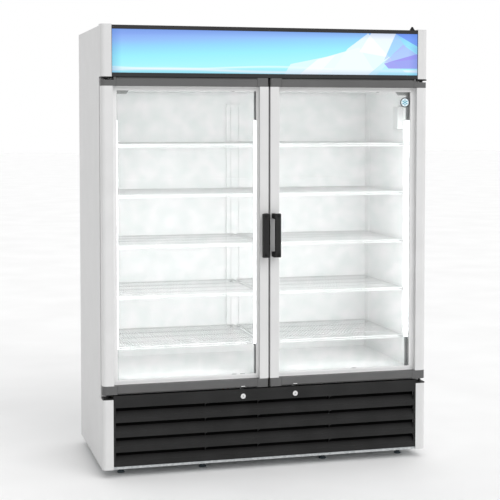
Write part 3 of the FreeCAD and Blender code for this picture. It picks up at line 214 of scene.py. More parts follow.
def facet_cover(tree, share, corners, cover):
    """What a convex facet covers: cover inside all of its edges, nothing outside."""
    middle = Vector((sum(c[0] for c in corners), sum(c[1] for c in corners))) / len(corners)
    for start, end in zip(corners, corners[1:] + corners[:1]):
        normal = Vector((start[1] - end[1], end[0] - start[0]))
        if normal.dot(middle - Vector(start)) < 0:
            normal.negate()
        reach = add(tree, "VectorMath", {0: share, 1: (normal.x, 0, normal.y)},
                    operation="DOT_PRODUCT").outputs["Value"]
        inside = add(tree, "Math", {0: reach, 1: normal.dot(Vector(start))},
                     operation="GREATER_THAN").outputs[0]
        cover = add(tree, "Math", {0: inside, 1: cover}, operation="MULTIPLY").outputs[0]
    return cover


def gap_to(tree, place, line):
    """How far a place is from a line, on either side of it."""
    away = add(tree, "Math", {0: place, 1: line}, operation="SUBTRACT").outputs[0]
    return add(tree, "Math", {0: away}, operation="ABSOLUTE").outputs[0]


def printed_film(low, high):
    """Back-lit printed film behind acrylic: a sky-coloured fade, pale streaks and plain facets."""
    material, tree = blank("backlit_printed_film")
    place = add(tree, "TexCoord").outputs["Object"]
    size = (high.x - low.x, 1.0, high.z - low.z)
    share = add(tree, "VectorMath", {0: place, 1: (low.x, 0, low.z)}, operation="SUBTRACT")
    share = add(tree, "VectorMath", {0: share.outputs[0], 1: size}, operation="DIVIDE").outputs[0]
    parts = add(tree, "SeparateXYZ", {0: share})
    across, up = parts.outputs[0], parts.outputs[2]

    lean = add(tree, "Math", {0: across, 1: SKY_SLANT, 2: up}, operation="MULTIPLY_ADD").outputs[0]
    colour = add(tree, "ValToRGB", {0: lean},
                 [(stop, linear(tint)) for stop, tint in SKY]).outputs[0]
    swell = add(tree, "Math", {0: across, 1: SWELL_ANGLE}, operation="MULTIPLY").outputs[0]
    swell = add(tree, "Math", {0: swell}, operation="SINE").outputs[0]
    for height, wave, width, strength in STREAKS:
        line = add(tree, "Math", {0: swell, 1: wave, 2: height}, operation="MULTIPLY_ADD").outputs[0]
        away = gap_to(tree, up, line)
        streak = add(tree, "MapRange", {0: away, 1: 0.0, 2: width, 3: strength, 4: 0.0}).outputs[0]
        colour = add(tree, "MixRGB", {0: streak, 1: colour, 2: linear("#FFFFFF")}).outputs[0]
    for corners, tint, cover in FACETS:
        mask = facet_cover(tree, share, corners, cover)
        colour = add(tree, "MixRGB", {0: mask, 1: colour, 2: linear(tint)}).outputs[0]

    # The lamps stand behind the middle of the film, so its light falls off near the edges.
    light = 1.0
    for place, even, dim in ((up, 0.36, 0.70), (across, 0.470, 0.62)):
        away = gap_to(tree, place, 0.5)
        fall = add(tree, "MapRange", {0: away, 1: even, 2: 0.5, 3: 1.0, 4: dim}).outputs[0]
        light = add(tree, "Math", {0: fall, 1: light}, operation="MULTIPLY").outputs[0]
    glow = add(tree, "MixRGB", {0: light, 1: linear("#3E78C8"), 2: colour}).outputs[0]
    surface = add(tree, "BsdfPrincipled", {
        "Base Color": linear("#202428"), "Roughness": 0.25, "Specular IOR Level": 0.3,
        "Emission Color": glow, "Emission Strength": 1.0})
    add(tree, "OutputMaterial", {"Surface": surface.outputs[0]})
    return material


MATERIALS = {
    # Polyester powder on steel: a soft grey white with a faint orange peel.
    "white_coated_steel": finish("powder_coated_steel", ("#CFCFCF", "#D2D2D2"), 0.42,
                                 texture=2.2 * MM, depth=0.03 * MM, specular_ior_level=0.35),
    # Zinc-dipped sheet, with its crystals showing.
    "galvanised_steel": spangled_zinc(),
    # Coil-coated aluminium: a clean bright white, smoother than powder.
    "white_liner": finish("coil_coated_liner", ("#F1F1F1", "#F4F4F4"), 0.40, texture=3 * MM,
                          depth=0.02 * MM, specular_ior_level=0.35),
    # Poured polyurethane foam: straw coloured and full of small cells.
    "insulation_foam": finish("poured_polyurethane_foam", ("#E0D3A0", "#EADFB6"), 0.9,
                              texture=2.5 * MM, depth=0.6 * MM),
    # Drawn copper tube, dulled by air and hands.
    "copper_tube": finish("drawn_copper_tube", ("#B8704A", "#CF8A60"), 0.35, tone=0.03,
                          metallic=1.0),
    # Moulded ABS, light grey with a fine spark-eroded grain.
    "light_grey_plastic": finish("moulded_grey_abs", ("#D4D4D4", "#D9D9D9"), 0.5,
                                 texture=0.8 * MM, depth=0.05 * MM),
    # Polyethylene-dipped steel wire: glossy white, a little thick and uneven.
    "coated_wire": finish("dip_coated_wire", ("#CDCDCD", "#D6D6D6"), 0.3, tone=0.04,
                          texture=4 * MM, depth=0.05 * MM),
    # Zinc-plated pressed steel.
    "clip_steel": finish("zinc_plated_pressing", ("#9C9C9C", "#ADADAD"), 0.38, tone=0.01,
                         metallic=0.9),
    # Opal acrylic lens over the diodes of an inside lamp.
    "lamp_lens": lit_lens("opal_lamp_acrylic", "#F4F8FF", 6.0, 5 * MM),
    # Moulded end covers of the lamps: mid grey ABS.
    "lamp_end_plastic": finish("moulded_lamp_cover_abs", ("#7C7C7E", "#868688"), 0.5,
                               texture=0.8 * MM, depth=0.05 * MM),
    # Glass-filled nylon mouldings and extrusions in dark grey.
    "dark_trim": finish("dark_grey_nylon", ("#5A5A5A", "#5E5E5E"), 0.48, texture=0.9 * MM,
                        depth=0.05 * MM, specular_ior_level=0.3),
    # The same nylon in near black, round the sign.
    "sign_trim": finish("black_grey_nylon", ("#2A2A2B", "#2D2D2E"), 0.5, texture=0.9 * MM,
                        depth=0.05 * MM, specular_ior_level=0.25),
    # Printed film, lit from behind.
    "sign_film": printed_film(*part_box("sign_lens")),
    # Injection-moulded ABS in black, with a spark-eroded grain.
    "black_plastic": finish("moulded_black_abs", ("#212121", "#262626"), 0.55,
                            texture=0.9 * MM, depth=0.06 * MM, specular_ior_level=0.18),
    # Stove-enamelled black steel brackets.
    "black_coated_steel": finish("black_enamelled_steel", ("#0E0E0E", "#141414"), 0.4,
                                 texture=1.5 * MM, depth=0.03 * MM, specular_ior_level=0.25),
    # Turned and chromium-plated steel.
    "bright_steel": finish("chromium_plated_steel", ("#DCDCDC", "#E6E6E6"), 0.14, tone=0.02,
                           rough_spread=0.03, metallic=1.0),
    # Aluminium fins pressed on to copper tubes.
    "coil_aluminium": finned_coil(),
    # Thick gloss enamel over a pressed steel shell.
    "compressor_black": finish("gloss_black_enamel", ("#0C0C0D", "#131314"), 0.22,
                               texture=5 * MM, depth=0.08 * MM),
    # Extruded aluminium, painted light grey over fine die lines that run along it.
    "silver_aluminium": finish("painted_aluminium_extrusion", ("#D0D0D0", "#D4D4D4"), 0.38,
                               texture=0.6 * MM, depth=0.02 * MM, stretch=(1, 1, 0.02),
                               specular_ior_level=0.4),
    # Rigid vinyl glazing bead, white with a satin skin.
    "bead_plastic": finish("extruded_white_vinyl", ("#E2E2E2", "#E6E6E6"), 0.42,
                           texture=0.7 * MM, depth=0.02 * MM),
    # Clear float glass, almost without colour.
    "door_glass": float_glass(),
    # Soft vinyl magnetic gasket, mid grey and slightly greasy.
    "gasket_rubber": finish("magnetic_gasket_vinyl", ("#565656", "#5E5E5E"), 0.55,
                            texture=1.2 * MM, depth=0.05 * MM),
    # Glass-filled polypropylene fan blades.
    "fan_plastic": finish("glass_filled_polypropylene", ("#2A2A2C", "#303033"), 0.5,
                          texture=0.9 * MM, depth=0.05 * MM),
    # Moulded nylon feet, near black with a blue cast.
    "foot_plastic": finish("moulded_nylon_foot", ("#3C464C", "#465056"), 0.45,
                           texture=0.9 * MM, depth=0.05 * MM),
    # Near-black foam with open cells, behind the grille: painted shade for the dark in its openings.
    "shade_sheet_foam": finish("black_shade_sheet_foam", ("#040404", "#0A0A0A"), 0.95,
                          texture=1.6 * MM, depth=0.8 * MM, specular_ior_level=0.05),
    # Pale studio floor: smooth, matt and very slightly mottled.
    "floor": finish("pale_floor_paint", ("#EDEDED", "#F1F1F1"), 0.7, tone=0.6, texture=6 * MM,
                    depth=0.1 * MM, specular_ior_level=0.2),
    # Enamelled badge: a pale disc, its raised teal star and a slate rim.
    "badge_pale": finish("pale_badge_enamel", ("#E4F1F6", "#EDF6FA"), 0.25, tone=0.01),
    "badge_blue": finish("teal_badge_enamel", ("#2F9DB8", "#3FB0C8"), 0.25, tone=0.01),
    "badge_rim": finish("slate_badge_rim", ("#1E262C", "#262F36"), 0.35, tone=0.01),
}

for entry in RECORD["subparts"]:
    node = NODES[entry["node"]]
    material = MATERIALS[entry["material_slot"]]
    if not node.material_slots:
        node.data.materials.append(material)
    for holder in node.material_slots:
        holder.material = material
# The sign's frame shares its slot with the dark trim, but is nearer black.
NODES["sign_frame"].material_slots[0].material = MATERIALS["sign_trim"]


# ---------------------------------------------------------------- mesh helpers

def make(name, mesh, body, look, instead_of=(), smooth=35.0):
    """Turn a bmesh into a piece that rides on a body. smooth is the sharpest angle left soft."""
    bmesh.ops.remove_doubles(mesh, verts=mesh.verts, dist=1e-6)
    bmesh.ops.recalc_face_normals(mesh, faces=mesh.faces)
    for face in mesh.faces:
        face.smooth = True
    for edge in mesh.edges:
        if len(edge.link_faces) == 2 and edge.calc_face_angle(0) > math.radians(smooth):
            edge.smooth = False
    data = bpy.data.meshes.new(name)
    mesh.to_mesh(data)
    mesh.free()
    piece = bpy.data.objects.new(name, data)
    bpy.context.scene.collection.objects.link(piece)
    data.materials.append(MATERIALS[look])
    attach(piece, body)
    if instead_of:
        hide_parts(*instead_of)
    return piece


def join(mesh, rings):
    """Skin each ring of corners to the next one."""
    for low, high in zip(rings, rings[1:]):
        for k in range(len(low)):
            after = (k + 1) % len(low)
            mesh.faces.new((low[k], low[after], high[after], high[k]))


def tube(mesh, points, radius, sides=8):
    """A round bar along a run of points, closed at both ends."""
    rings = []
    for index, point in enumerate(points):
        before, after = points[max(index - 1, 0)], points[min(index + 1, len(points) - 1)]
        along = (after - before).normalized()
        side = along.orthogonal().normalized()
        if abs(along.x) < 0.5:
            side = Vector((1, 0, 0)) - along * along.x
            side.normalize()
        other = along.cross(side)
        rings.append([mesh.verts.new(point + (side * math.cos(a) + other * math.sin(a)) * radius)
                      for a in (TURN * k / sides for k in range(sides))])
    join(mesh, rings)
    mesh.faces.new(rings[0])
    mesh.faces.new(rings[-1])


def lathe(mesh, centre, profile, axis="Z", sides=32):
    """Turn a profile of (radius, place along the axis) round an axis through centre."""
    turn = {"Z": Matrix.Identity(3), "Y": Matrix.Rotation(-math.pi / 2, 3, "X")}[axis]
    rings = []
    for radius, place in profile:
        rings.append([mesh.verts.new(centre + turn @ Vector(
            (radius * math.cos(a), radius * math.sin(a), place)))
            for a in (TURN * k / sides for k in range(sides))])
    join(mesh, rings)
    mesh.faces.new(rings[0])
    mesh.faces.new(rings[-1])


def slab(mesh, low, high, bevel=0.0, segments=2):
    """A block between two corners with softened edges."""
    made = bmesh.ops.create_cube(mesh, size=1.0)["verts"]
    middle, size = (low + high) / 2, high - low
    for vertex in made:
        vertex.co = middle + Vector([c * s for c, s in zip(vertex.co, size)])
    edges = list(dict.fromkeys(e for v in made for e in v.link_edges))
    if bevel:
        bmesh.ops.bevel(mesh, geom=edges, offset=bevel, segments=segments, affect="EDGES",
                        profile=0.5)


def prism(mesh, outline, along, start, end):
    """Extrude an outline along an axis and return its two ends.

    The outline's two numbers are places along the other axes, in order.
    """
    order = {"X": (1, 2), "Y": (0, 2), "Z": (0, 1)}[along]
    third = "XYZ".index(along)
    rings = []
    for place in (start, end):
        ring = []
        for first, second in outline:
            corner = Vector()
            corner[order[0]], corner[order[1]], corner[third] = first, second, place
            ring.append(mesh.verts.new(corner))
        rings.append(ring)
    ends = [mesh.faces.new(ring) for ring in rings]
    join(mesh, rings)
    return ends


def rounded(corners, radii, segments=6):
    """An outline with each corner replaced by an arc of its own radius."""
    outline = []
    for index, (corner, radius) in enumerate(zip(corners, radii)):
        here = Vector(corner)
        if radius <= 0:
            outline.append(tuple(here))
            continue
        to_last = (Vector(corners[index - 1]) - here).normalized()
        to_next = (Vector(corners[(index + 1) % len(corners)]) - here).normalized()
        half = to_last.angle(to_next) / 2
        centre = here + (to_last + to_next).normalized() * radius / math.sin(half)
        start = here + to_last * radius / math.tan(half) - centre
        end = here + to_next * radius / math.tan(half) - centre
        sweep = start.angle_signed(end)
        for step in range(segments + 1):
            turned = start.copy()
            turned.rotate(Matrix.Rotation(-sweep * step / segments, 2))
            outline.append(tuple(centre + turned))
    return outline


def ring_frame(mesh, outer, inner, profile):
    """Sweep a profile round a rectangle with mitred corners.

    outer and inner are (left, low, right, high). Each profile point is a share of the way from
    outer to inner and a place along Y.
    """
    loops = []
    for share, y in profile:
        left, low, right, high = (o + (i - o) * share for o, i in zip(outer, inner))
        loops.append([mesh.verts.new(Vector(p)) for p in (
            (left, y, low), (right, y, low), (right, y, high), (left, y, high))])
    join(mesh, loops + loops[:1])


def flipped(mesh):
    """The same mesh on the other side of the cabinet."""
    bmesh.ops.scale(mesh, verts=mesh.verts, vec=(-1, 1, 1))
    bmesh.ops.reverse_faces(mesh, faces=mesh.faces)


SIDES = (("left", -1), ("right", 1))


# ---------------------------------------------------------------- camera, light and floor

LENS_LENGTH, LENS_SHIFT = 93.762, -0.12
EYE = (-1.6181, -5.9939, 1.5853)
LOOK_DOWN, LOOK_RIGHT = 0.05263, 0.26326
BAY_MIDDLE = Vector((0.37, 0, 1.08))


def camera():
    """A long lens in front of the doors, left of the middle."""
    eye = bpy.data.objects.new("camera", bpy.data.cameras.new("camera"))
    bpy.context.scene.collection.objects.link(eye)
    bpy.context.scene.camera = eye
    eye.data.sensor_width = 36.0
    eye.data.lens = LENS_LENGTH
    eye.data.shift_y = LENS_SHIFT
    eye.data.clip_end = 100.0
    eye.location = EYE
    eye.rotation_euler = (math.pi / 2 - LOOK_DOWN, 0, -LOOK_RIGHT)


def room():
    """White light from all round, weaker from the left."""
    world = bpy.data.worlds.new("studio")
    world.use_nodes = True
    tree = world.node_tree
    tree.nodes.clear()
    direction = add(tree, "TexCoord").outputs["Generated"]
    across = add(tree, "SeparateXYZ", {0: direction}).outputs[0]
    strength = add(tree, "MapRange", {0: across, 1: -1.0, 2: -0.2, 3: 0.66, 4: 1.0}).outputs[0]
    sky = add(tree, "Background", {"Color": (1, 1, 1, 1), "Strength": strength})
    add(tree, "OutputWorld", {"Surface": sky.outputs[0]})
    bpy.context.scene.world = world
    bpy.context.scene.view_settings.view_transform = "Standard"


def lights():
    """One large soft box above the front, and the bounce of the inside lamps in each bay."""
    sun = bpy.data.objects.new("softbox", bpy.data.lights.new("softbox", "SUN"))
    sun.data.energy = 0.9
    sun.data.angle = math.radians(40)
    sun.rotation_euler = (math.radians(48), 0, math.radians(24))
    bpy.context.scene.collection.objects.link(sun)

    for _, sign in SIDES:
        fill = bpy.data.objects.new("bay_fill", bpy.data.lights.new("bay_fill", "AREA"))
        fill.data.shape = "RECTANGLE"
        fill.data.size, fill.data.size_y = 0.60, 1.20
        fill.data.energy = 3.0
        fill.location = (sign * BAY_MIDDLE.x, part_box("face_frame")[1].y + 12 * MM, BAY_MIDDLE.z)
        fill.rotation_euler = (math.pi / 2, 0, 0)
        fill.visible_camera = fill.visible_transmission = fill.visible_glossy = False
        bpy.context.scene.collection.objects.link(fill)


def floor():
    """A wide pale floor with its top at the feet."""
    mesh = bmesh.new()
    slab(mesh, Vector((-30, -30, -0.02)), Vector((30, 60, 0)), 2 * MM)
    data = bpy.data.meshes.new("floor")
    mesh.to_mesh(data)
    mesh.free()
    ground = bpy.data.objects.new("floor", data)
    data.materials.append(MATERIALS["floor"])
    bpy.context.scene.collection.objects.link(ground)


# ---------------------------------------------------------------- shelves

# Radii of a shelf's wires and rods, how far they sink into each other where they are welded,
# the wires' spacing, the bend at the front, and half the room between the two shelves.
WIRE, ROD, WELD = 1.6 * MM, 2.75 * MM, 0.4 * MM
WIRE_PITCH, WIRE_BEND = 14.3 * MM, 7 * MM
SHELF_CENTRE = 8 * MM
SHELF_LEVELS = 5


def one_shelf(mesh, left, right, front, back, top, skirt_low):
    """Round wires bent down at the front, on a rod frame with cross rods under them."""
    count = int((right - left - 2 * WIRE) / WIRE_PITCH) + 1
    start = (left + right - WIRE_PITCH * (count - 1)) / 2
    for index in range(count):
        x = start + WIRE_PITCH * index
        corner = Vector((x, front + WIRE + WIRE_BEND, top - WIRE - WIRE_BEND))
        turn = [corner + Vector((0, -math.sin(a), math.cos(a))) * WIRE_BEND
                for a in (math.pi / 2 * k / 4 for k in range(5))]
        tube(mesh, [Vector((x, back - ROD, top - WIRE))] + turn
             + [Vector((x, front + WIRE, skirt_low))], WIRE, 7)
    rod_z = top - 2 * WIRE - ROD + WELD
    rod_front, rod_back = front + 2 * WIRE + ROD, back - ROD
    inner_left, inner_right = left + ROD, right - ROD
    for share in (0.0, 0.25, 0.5, 0.75, 1.0):
        y = rod_front + share * (rod_back - rod_front)
        tube(mesh, [Vector((inner_left, y, rod_z)), Vector((inner_right, y, rod_z))], ROD, 10)
    for x in (inner_left, inner_right):
        tube(mesh, [Vector((x, rod_front, rod_z)), Vector((x, rod_back, rod_z))], ROD, 10)
    low_y = rod_front - WELD
    tube(mesh, [Vector((inner_left - ROD / 2, low_y, skirt_low + ROD)),
                Vector((inner_right + ROD / 2, low_y, skirt_low + ROD))], ROD, 10)


def shelves():
    """A left and a right shelf on each level, as one piece."""
    for level in range(1, SHELF_LEVELS + 1):
        name = f"shelf_pair_{level}"
        low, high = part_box(name)
        mesh = bmesh.new()
        for left, right in ((low.x, -SHELF_CENTRE), (SHELF_CENTRE, high.x)):
            one_shelf(mesh, left, right, low.y, high.y, high.z, low.z)
        make(f"wire_shelves_{level}", mesh, "cabinet", "coated_wire", instead_of=(name,))


# ---------------------------------------------------------------- doors

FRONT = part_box("door_left_rails")[0].y
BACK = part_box("door_left_rails")[1].y
DOOR_LOW, DOOR_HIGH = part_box("door_left_rails")[0].z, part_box("door_left_rails")[1].z
STILES_LOW, STILES_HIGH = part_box("door_left_stiles")
OUTER, INNER = STILES_LOW.x, STILES_HIGH.x
# A rail runs between its two moulded corners; the outer one is longer than the inner one.
OUTER_CAP, INNER_CAP = 66 * MM, 53 * MM
RAIL_LEFT, RAIL_RIGHT = OUTER + OUTER_CAP, INNER - INNER_CAP
SEAM = 0.35 * MM
# The upper outer corner is cut back for the hinge: how far along it and how far down.
CAP_STEP, CAP_NOTCH = 54.4 * MM, 13 * MM
BOLT_CLEAR, SLOT_DEPTH = 0.6 * MM, 11 * MM
LIP = 1.2 * MM
# What the glazing bead covers beside the outer stile, beside the inner stile and at each rail.
BEAD_OUTER, BEAD_INNER, BEAD_RAIL = 22 * MM, 11 * MM, 19.5 * MM


def rail_profile(low, high, outside_is_low):
    """Section of a rail: a flat face, a thin lip at the glass and a sloped outer edge."""
    if outside_is_low:
        return [(FRONT, low + 6 * MM), (FRONT + 6 * MM, low), (BACK, low), (BACK, high),
                (FRONT + LIP, high), (FRONT, high - LIP)]
    return [(FRONT, low + LIP), (FRONT + LIP, low), (BACK, low), (BACK, high),
            (FRONT + 8 * MM, high), (FRONT, high - 12 * MM)]


def cap(mesh, left, right, low, high, outer_corner, notch=None):
    """A moulded corner with a rounded upright edge. Above notch it is cut back to a step."""
    if outer_corner:
        outline = rounded([(left, FRONT), (right, FRONT), (right, BACK), (left + 8 * MM, BACK),
                           (left, BACK - 8 * MM)], [20 * MM, 1 * MM, 0, 0, 0], 8)
    else:
        outline = rounded([(left, FRONT), (right, FRONT), (right, BACK), (left, BACK)],
                          [1 * MM, 9 * MM, 0, 0], 6)
    if notch is None:
        prism(mesh, outline, "Z", low, high)
        return
    prism(mesh, outline, "Z", low, notch)
    step = left + CAP_STEP
    prism(mesh, rounded([(step, FRONT), (right, FRONT), (right, BACK), (step, BACK)],
                        [6 * MM, 1 * MM, 0, 0], 4), "Z", notch, high)


def slotted_rail(mesh, profile, start, end):
    """The bottom rail, with the blind slot that the lock's bolt rises into."""
    low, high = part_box("lock_bolt_left")
    near, far = low.y - BOLT_CLEAR, high.y + BOLT_CLEAR
    left, right = low.x - BOLT_CLEAR, high.x + BOLT_CLEAR
    mouth, roof = DOOR_LOW, DOOR_LOW + SLOT_DEPTH
    before, after = profile[:2], profile[2:]
    plain = before + [(near, mouth), (far, mouth)] + after
    cut = before + [(near, mouth), (near, roof), (far, roof), (far, mouth)] + after
    hidden = [prism(mesh, plain, "X", start, left)[1], prism(mesh, plain, "X", right, end)[0]]
    hidden += prism(mesh, cut, "X", left, right)
    bmesh.ops.delete(mesh, geom=hidden, context="FACES_ONLY")
    for x in (left, right):
        mesh.faces.new([mesh.verts.new((x, y, z)) for y, z in cut[2:6]])


def door_rails():
    """Rails and moulded corners of a left door; the seams between them stay open a hair."""
    mesh = bmesh.new()
    start, end = RAIL_LEFT + SEAM, RAIL_RIGHT - SEAM
    slotted_rail(mesh, rail_profile(DOOR_LOW, STILES_LOW.z, True), start, end)
    prism(mesh, rail_profile(STILES_HIGH.z, DOOR_HIGH, False), "X", start, end)
    for low, high, notch in ((DOOR_LOW, STILES_LOW.z, None),
                             (STILES_HIGH.z, DOOR_HIGH, DOOR_HIGH - CAP_NOTCH)):
        cap(mesh, OUTER, RAIL_LEFT - SEAM, low, high, True, notch)
        cap(mesh, RAIL_RIGHT + SEAM, INNER, low, high, False)
    return mesh


def handle():
    """A C-shaped pull with a softly crowned grip and a plug over each screw."""
    low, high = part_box("door_left_handle")
    arm, grip, thick, seam_gap = 24 * MM, 24 * MM, 20 * MM, 3 * MM
    left, right = low.x, high.x - seam_gap
    corners = [(left, low.z), (right, low.z), (right, low.z + arm), (left + grip, low.z + arm),
               (left + grip, high.z - arm), (right, high.z - arm), (right, high.z),
               (left, high.z)]
    mesh = bmesh.new()
    outline = rounded(corners, [3 * MM, 2 * MM, 1.5 * MM, 4 * MM, 4 * MM, 1.5 * MM, 2 * MM,
                                3 * MM], 4)
    prism(mesh, outline, "Y", low.y, low.y + thick)
    rim = [e for e in mesh.edges if all(abs(v.co.y - low.y) < 1e-6 for v in e.verts)]
    bmesh.ops.bevel(mesh, geom=rim, offset=2.2 * MM, segments=3, affect="EDGES", profile=0.6)
    for foot_low, foot_high in ((low.z, low.z + arm), (high.z - arm, high.z)):
        slab(mesh, Vector((right - 17 * MM, low.y + thick - 1 * MM, foot_low + 0.5 * MM)),
             Vector((right - 0.5 * MM, high.y, foot_high - 0.5 * MM)), 1.5 * MM, 3)
        middle = Vector((left + grip / 2, low.y + 0.2 * MM, (foot_low + foot_high) / 2))
        lathe(mesh, middle, [(4.6 * MM, 0.8 * MM), (4.6 * MM, 0), (4.2 * MM, -0.2 * MM)], "Y", 24)
    return mesh


def bead():
    """Snap-in glazing bead: a small lip outside, a slope, and a soft edge against the glass."""
    low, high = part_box("door_left_glazing_bead")
    near = low.y
    mesh = bmesh.new()
    ring_frame(mesh, (low.x, low.z, high.x, high.z),
               (low.x + BEAD_OUTER, low.z + BEAD_RAIL, high.x - BEAD_INNER, high.z - BEAD_RAIL),
               [(0.0, near + 6 * MM), (0.0, near), (0.12, near), (0.16, near + 2 * MM),
                (0.55, near + 0.6 * MM), (0.80, near + 0.6 * MM), (0.93, near + 1.0 * MM),
                (1.0, near + 2.4 * MM), (1.0, near + 6 * MM)])
    return mesh


def gasket():
    """Soft bellows with a magnet in the sealing face."""
    low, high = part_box("door_left_gasket")
    near, far = low.y, high.y
    width = 16 * MM
    mesh = bmesh.new()
    ring_frame(mesh, (low.x, low.z, high.x, high.z),
               (low.x + width, low.z + width, high.x - width, high.z - width),
               [(0.30, near), (0.30, near + 2 * MM), (0.05, near + 3.2 * MM),
                (0.20, near + 4.6 * MM), (0.0, near + 6 * MM), (0.0, far), (1.0, far),
                (1.0, near + 6 * MM), (0.80, near + 4.6 * MM), (0.95, near + 3.2 * MM),
                (0.70, near + 2 * MM), (0.70, near)])
    return mesh


def strike():
    """Plated plate that wraps the bottom rail's front edge, before the lock's bolt."""
    low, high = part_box("lock_barrel_left")
    middle, half, plate, depth = (low.x + high.x) / 2, 9 * MM, 0.4 * MM, 15 * MM
    outline = [(FRONT - plate, DOOR_LOW + 9 * MM), (FRONT - plate, DOOR_LOW + 5.6 * MM),
               (FRONT + 5.6 * MM, DOOR_LOW - plate), (FRONT + depth, DOOR_LOW - plate),
               (FRONT + depth, DOOR_LOW), (FRONT + 6 * MM, DOOR_LOW),
               (FRONT, DOOR_LOW + 6 * MM), (FRONT, DOOR_LOW + 9 * MM)]
    mesh = bmesh.new()
    prism(mesh, outline, "X", middle - half, middle + half)
    return mesh


def doors():
    """Each piece is built for the left door and turned over for the right one."""
    builders = (
        ("door_{}_rails", door_rails, "rails_and_corners_{}", "dark_trim", 30),
        ("door_{}_handle", handle, "pull_handle_{}", "black_plastic", 35),
        ("door_{}_glazing_bead", bead, "snap_bead_{}", "bead_plastic", 20),
        ("door_{}_gasket", gasket, "bellows_gasket_{}", "gasket_rubber", 30),
        (None, strike, "lock_strike_{}", "bright_steel", 20),
    )
    for side, sign in SIDES:
        for node, builder, name, look, smooth in builders:
            mesh = builder()
            if sign > 0:
                flipped(mesh)
            make(name.format(side), mesh, f"door_{side}", look, smooth=smooth,
                 instead_of=(node.format(side),) if node else ())
        NODES[f"door_{side}_glass"].visible_shadow = False


BADGE_ACROSS, BADGE_UP = 0.6645, 1.6735
BADGE_RADIUS, BADGE_RIM = 23 * MM, 4 * MM
STAR_ARM, STAR_FORK, STAR_TWIG = 15 * MM, 8.5 * MM, 3.6 * MM


def badge():
    """A plain round badge on the glass with a six-armed frost star."""
    centre = Vector((BADGE_ACROSS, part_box("door_right_glass")[0].y, BADGE_UP))
    radius, field = BADGE_RADIUS, BADGE_RADIUS - BADGE_RIM
    mesh = bmesh.new()
    lathe(mesh, centre, [(radius, 0), (radius, -1.2 * MM), (radius - 1 * MM, -1.8 * MM),
                         (field, -1.8 * MM), (field, -0.9 * MM)], "Y", 48)
    make("badge_rim", mesh, "door_right", "badge_rim")
    mesh = bmesh.new()
    lathe(mesh, centre, [(field, -0.2 * MM), (field, -1.2 * MM),
                         (field - 1 * MM, -1.3 * MM)], "Y", 48)
    make("badge_disc", mesh, "door_right", "badge_pale")
    mesh = bmesh.new()
    start = centre + Vector((0, -1.4 * MM, 0))
    for arm in range(6):
        angle = TURN * arm / 6
        along = Vector((math.sin(angle), 0, math.cos(angle)))
        across = Vector((math.cos(angle), 0, -math.sin(angle)))
        tube(mesh, [start, start + along * STAR_ARM], 1.3 * MM, 8)
        for side in (-1, 1):
            fork = start + along * STAR_FORK
            tube(mesh, [fork, fork + (along + across * side) * STAR_TWIG], 1.0 * MM, 8)
    make("badge_frost_star", mesh, "door_right", "badge_blue")


# ---------------------------------------------------------------- grille and locks

GRILLE_LOW, GRILLE_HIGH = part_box("grille")
# Louvres, from the grille's top: the first opening, their spacing and how tall each one is.
LOUVRE_TOP, LOUVRE_PITCH, LOUVRE_OPEN, LOUVRE_ROWS = 54 * MM, 66.7 * MM, 40 * MM, 4
GRILLE_EDGE, LIP_INSET, RIB_ROOM = 10 * MM, 20 * MM, 9 * MM
RIBS = (-0.2970, -0.050, 0.2930)


def grille_shade_sheet():
    """A near-black foam sheet behind the grille, from the base rail to just under the grille's top:
    painted shade in the openings.
    """
    low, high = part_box("base_frame")[1].z + 2 * MM, GRILLE_HIGH.z - 4 * MM
    mesh = bmesh.new()
    slab(mesh, Vector((GRILLE_LOW.x + 5 * MM, GRILLE_HIGH.y + 2.5 * MM, low)),
         Vector((GRILLE_HIGH.x - 5 * MM, GRILLE_HIGH.y + 8.5 * MM, high)), 1 * MM)
    make("grille_shade_sheet", mesh, "cabinet", "shade_sheet_foam")


def louvres():
    """A lip in lighter grey over each opening, a painted highlight on its bevel, and the ribs that hold
    the bands apart.
    """
    stops = [GRILLE_LOW.x + GRILLE_EDGE + LIP_INSET]
    stops += [x + side * RIB_ROOM for x in RIBS for side in (-1, 1)]
    stops += [GRILLE_HIGH.x - GRILLE_EDGE - LIP_INSET]
    lips, ribs = bmesh.new(), bmesh.new()
    for row in range(LOUVRE_ROWS):
        high = GRILLE_HIGH.z - LOUVRE_TOP - LOUVRE_PITCH * row
        low = high - LOUVRE_OPEN
        for start, end in zip(stops[::2], stops[1::2]):
            prism(lips, [(FRONT, high + 1.9 * MM), (FRONT + 2.4 * MM, high - 0.6 * MM),
                         (FRONT + 2.4 * MM, high + 1.9 * MM)], "X", start, end)
        for x in RIBS:
            slab(ribs, Vector((x - 6 * MM, FRONT + 0.5 * MM, high - 3 * MM)),
                 Vector((x + 6 * MM, FRONT + 4 * MM, high + 3 * MM)), 0.8 * MM)
            prism(ribs, [(FRONT + 2.5 * MM, high), (FRONT + 22 * MM, high),
                         (FRONT + 22 * MM, low + 18 * MM)], "X", x - 1.2 * MM, x + 1.2 * MM)
    # The lips' lighter grey against the black grille is a painted highlight on their lit bevels.
    make("grille_highlight_lips", lips, "cabinet", "dark_trim")
    make("grille_ribs", ribs, "cabinet", "black_plastic")


